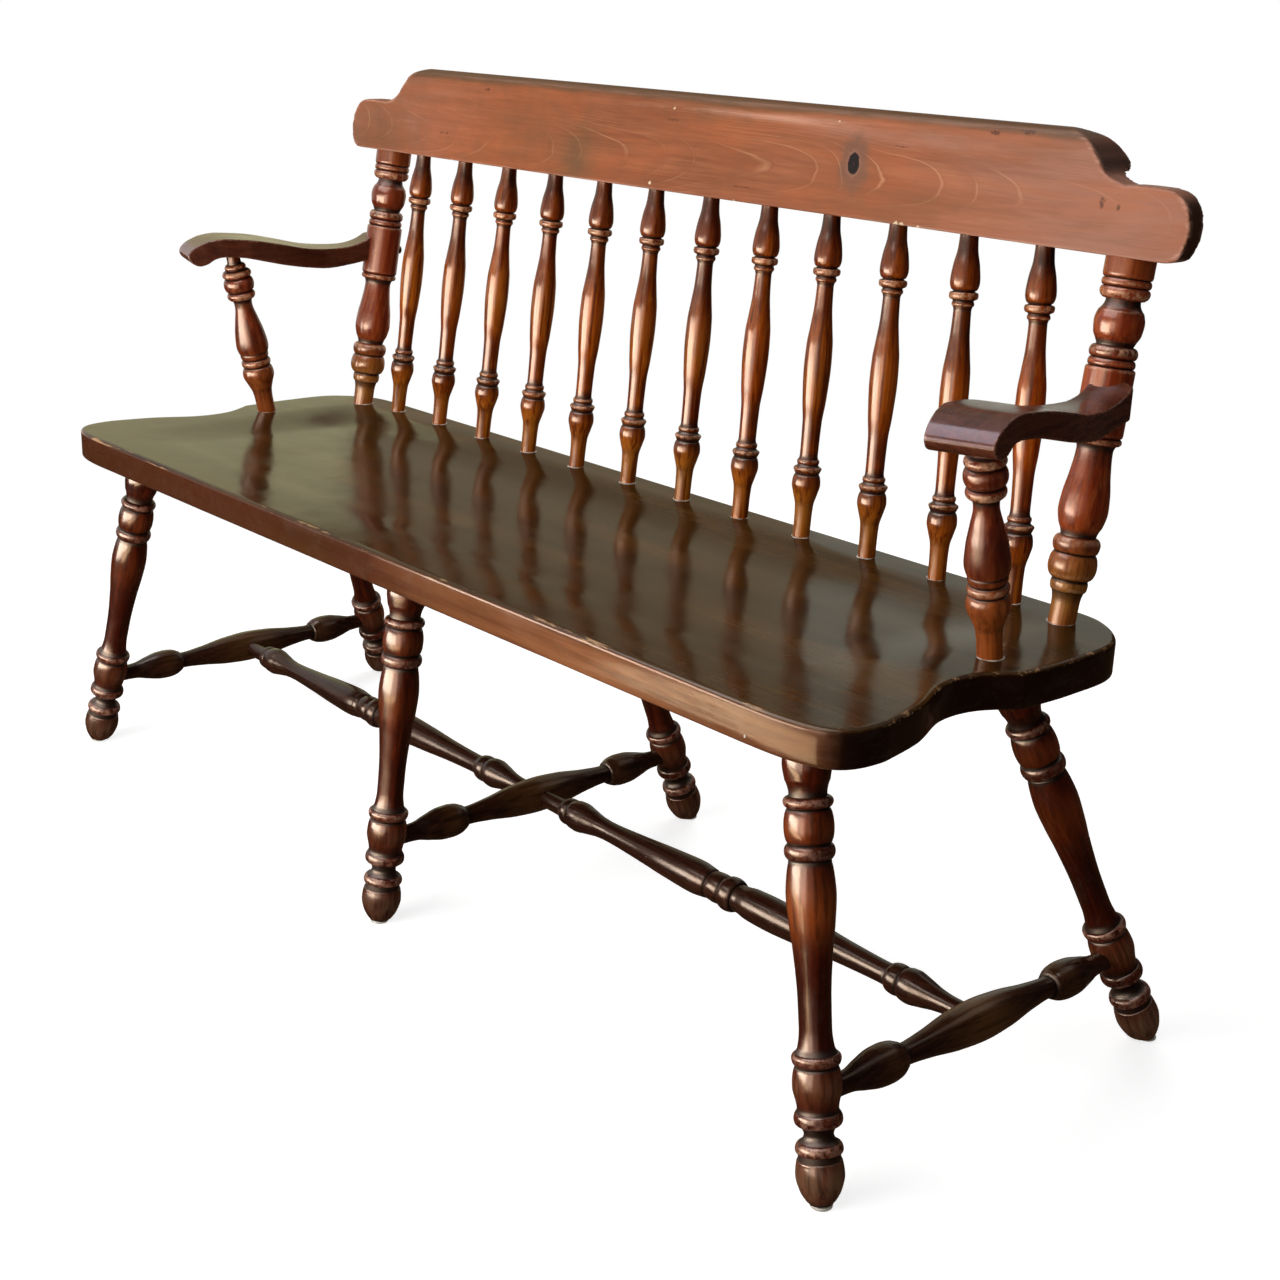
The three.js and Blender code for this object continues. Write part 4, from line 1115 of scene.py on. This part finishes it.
def filler(name, centre, size):
    """A small crumb of pale filler squeezed out of a joint, its size in mm."""
    ball = bmesh.new()
    bmesh.ops.create_icosphere(ball, subdivisions=3, radius=1)
    lumps = chance.uniform(0, 6.28, 6)
    for vertex in ball.verts:
        x, y, z = vertex.co
        swell = 0.22 * math.sin(4 * x + lumps[0]) * math.cos(3 * y + lumps[1])
        swell += 1 + 0.15 * math.sin(6 * z + lumps[2])
        vertex.co = Vector((x * size[0], y * size[1], z * size[2])) * mm * swell + centre
    mesh = bpy.data.meshes.new(name)
    ball.to_mesh(mesh)
    ball.free()
    piece = finish_object(name, mesh, wax, 60)
    store(piece, grain_place=per_vertex(piece.data, "co"))
    stand_in_for(piece, None)


def beside(axis_ends, along_mm, radius, azimuth):
    """A point on the side of a turned piece, so far along it and at an angle seen from above."""
    start, end = axis_ends
    axis = (end - start).normalized()
    towards = Vector((math.cos(azimuth), math.sin(azimuth), 0))
    towards = (towards - axis * towards.dot(axis)).normalized()
    return start + axis * along_mm * mm + towards * radius


seat_edge = seat_underside + 1 * mm
filler("seat_edge_filler", at(0.648, -137 * mm, seat_edge), (4.6, 2.6, 1.8))
filler("seat_edge_filler_small", at(0.643, -146 * mm, seat_edge - 0.4 * mm), (2.0, 2.2, 1.5))
filler("leg_back_right_filler", beside(leg_ends("back", 1), 322, 17.6 * mm, -0.9),
       (1.6, 1.6, 2.2))
filler("seat_front_filler", Vector((0.567, seat_front + 0.6 * mm, seat_underside + 7.5 * mm)),
       (1.5, 0.9, 1.4))

for index in range(spindle_count):
    residue(f"spindle_{index + 1:02d}_residue", spindle_ends(index)[0], 9 * mm)
for sign, side in both_sides:
    residue(f"post_{side}_residue", post_ends(sign)[0], 12.8 * mm)
    residue(f"arm_post_{side}_residue", arm_post_ends(sign)[0], 11.6 * mm)


# Camera, as fitted to the photograph's 1280 pixels
photo_pixels = 1280
focal_pixels = 1925.33
camera_place = at(1594.94 * mm, -1445.58 * mm, 976.02 * mm)
yaw, pitch, roll = math.radians(-48.09), math.radians(-18.69), math.radians(2.0)
camera_data = bpy.data.cameras.new("camera")
camera_data.sensor_width = 36
camera_data.lens = focal_pixels / photo_pixels * camera_data.sensor_width
camera_data.clip_start = 0.05
camera_data.clip_end = 60
camera = linked("camera", camera_data)
forward = Vector((math.sin(yaw) * math.cos(pitch), math.cos(yaw) * math.cos(pitch), math.sin(pitch)))
level = Vector((math.cos(yaw), -math.sin(yaw), 0))
upright = level.cross(forward)
rightward = level * math.cos(roll) + upright * math.sin(roll)
upward = -level * math.sin(roll) + upright * math.cos(roll)
turn = Matrix((rightward, upward, -forward)).transposed().to_4x4()
camera.matrix_world = Matrix.Translation(camera_place) @ turn
bpy.context.scene.camera = camera


# Light
def panel(name, centre, aim, wide, tall, strength, tint, rays):
    """A soft lamp that only one kind of ray finds, diffuse or glossy."""
    data = bpy.data.lights.new(name, "AREA")
    data.shape = "RECTANGLE"
    data.size = wide
    data.size_y = tall
    data.energy = strength * math.pi * wide * tall
    data.color = tint
    made = linked(name, data)
    facing = (Vector(aim) - Vector(centre)).to_track_quat("-Z", "Y").to_matrix().to_4x4()
    made.matrix_world = Matrix.Translation(centre) @ facing
    made.visible_camera = False
    made.visible_glossy = rays == "glossy"
    made.visible_diffuse = rays == "diffuse"


def glow(tree, tint, strength):
    return node(tree, "ShaderNodeEmission", {"Color": (*tint, 1), "Strength": strength})


def card(name, corners, strength, tint):
    """A studio card that only reflections see."""
    material, tree = new_material(name)
    node(tree, "ShaderNodeOutputMaterial", {"Surface": glow(tree, tint, strength)})
    mesh = bpy.data.meshes.new(name)
    mesh.from_pydata(corners, [], [tuple(range(len(corners)))])
    mesh.materials.append(material)
    made = linked(name, mesh)
    for rays in ("camera", "diffuse", "shadow", "transmission", "volume_scatter"):
        setattr(made, f"visible_{rays}", False)


white = (1, 1, 1)
panel("window", (-0.1, -1.95, 0.75), (0, 0, 0.5), 1.5, 1.2, 5.9, (1.0, 0.98, 0.95), "diffuse")
panel("window_shine", (-0.6, -1.65, 0.38), (-0.4, 0, 0.4), 1.9, 0.72, 27.0, (1.0, 0.97, 0.93), "glossy")
panel("window_side", (0.74, -1.6, 0.5), (0.3, 0, 0.5), 0.82, 0.95, 8.0, (1.0, 0.93, 0.9), "glossy")
panel("ground_shine", (0.12, -1.17, 0.006), (0.12, -1.17, 1.0), 1.2, 0.42, 17.0, (1.0, 0.84, 0.58),
      "glossy")
panel("sky_shine", (-0.3, -1.05, 2.5), (-0.1, -0.3, 0.5), 3.0, 2.3, 9.5, (0.8, 0.86, 1.0), "glossy")
panel("back_fill", (-1.1, 2.3, 1.1), (0, 0, 0.5), 1.8, 1.4, 5.0, white, "diffuse")
panel("sky", (0.2, -1.7, 1.9), (0.1, 0, 0.5), 2.2, 1.2, 1.1, (0.95, 0.98, 1.0), "diffuse")

# A row of upright cards from the right to the back left, and one over the ground
turns = [(1.5, -0.8), (1.5, 2.6), (-0.7, 2.6), (-1.8, 2.35), (-3.38, 1.98), (-6.0, 1.37)]
cards = [
    ("dark_card_right", 2.2, 0.02, white), ("dark_card_back", 2.2, 0.02, white),
    ("dim_card_back", 5, 0.6, (0.95, 1.0, 0.85)), ("brown_card_back", 5, 0.42, (1.0, 0.88, 0.6)),
    ("pale_card_back", 5, 0.82, (1.0, 0.98, 0.6)),
]
for (name, tall, strength, tint), near, far in zip(cards, turns, turns[1:]):
    card(name, [(*near, 0), (*far, 0), (*far, tall), (*near, tall)], strength, tint)
ground = [(-6, -3, 0.002), (4, -3, 0.002), (4, 3, 0.002), (-6, 3, 0.002)]
card("ground_card", ground, 0.06, (1.0, 0.55, 0.3))


def looked_at(tree):
    """1 for the rays that show a surface, and 0 for those that it lights the bench with."""
    seen = node(tree, "ShaderNodeLightPath", {}, "Is Camera Ray")
    for ray in ("Is Glossy Ray", "Is Transmission Ray"):
        seen = seen.math("MAXIMUM", node(tree, "ShaderNodeLightPath", {}, ray))
    return seen


world = bpy.data.worlds.new("studio")
bpy.context.scene.world = world
tree = empty_tree(world)
backdrop = node(tree, "ShaderNodeBackground", {"Color": (*white, 1), "Strength": 1.0})
ambient = node(tree, "ShaderNodeBackground", {"Color": (*white, 1), "Strength": 0.2})
both = node(tree, "ShaderNodeMixShader", {0: looked_at(tree), 1: ambient, 2: backdrop})
node(tree, "ShaderNodeOutputWorld", {"Surface": both})


# Floor: pale, keeping the bench's shadow near it and fading to white further off
def floor_material():
    material, tree = new_material("pale_floor")
    spot = node(tree, "ShaderNodeNewGeometry", {}, "Position")
    reach = node(tree, "ShaderNodeVectorMath", {0: spot, 1: (0, 0, 0)}, "Value", operation="DISTANCE")
    plain = node(tree, "ShaderNodeBsdfDiffuse", {"Color": (0.34, 0.33, 0.32, 1)})
    lit = node(tree, "ShaderNodeBsdfDiffuse", {"Color": (0.62, 0.62, 0.62, 1)})
    near = node(tree, "ShaderNodeAddShader", {0: lit, 1: glow(tree, white, 0.74)})
    inputs = {0: reach.spread(0.9, 2.0), 1: near, 2: glow(tree, white, 1.0)}
    shown = node(tree, "ShaderNodeMixShader", inputs)
    both = node(tree, "ShaderNodeMixShader", {0: looked_at(tree), 1: plain, 2: shown})
    node(tree, "ShaderNodeOutputMaterial", {"Surface": both})
    return material


floor_mesh = bpy.data.meshes.new("floor")
floor_mesh.from_pydata([(-20, -20, 0), (20, -20, 0), (20, 20, 0), (-20, 20, 0)], [], [(0, 1, 2, 3)])
floor_mesh.materials.append(floor_material())
linked("floor", floor_mesh)

bpy.context.scene.view_settings.view_transform = "Standard"

bpy.context.view_layer.update()
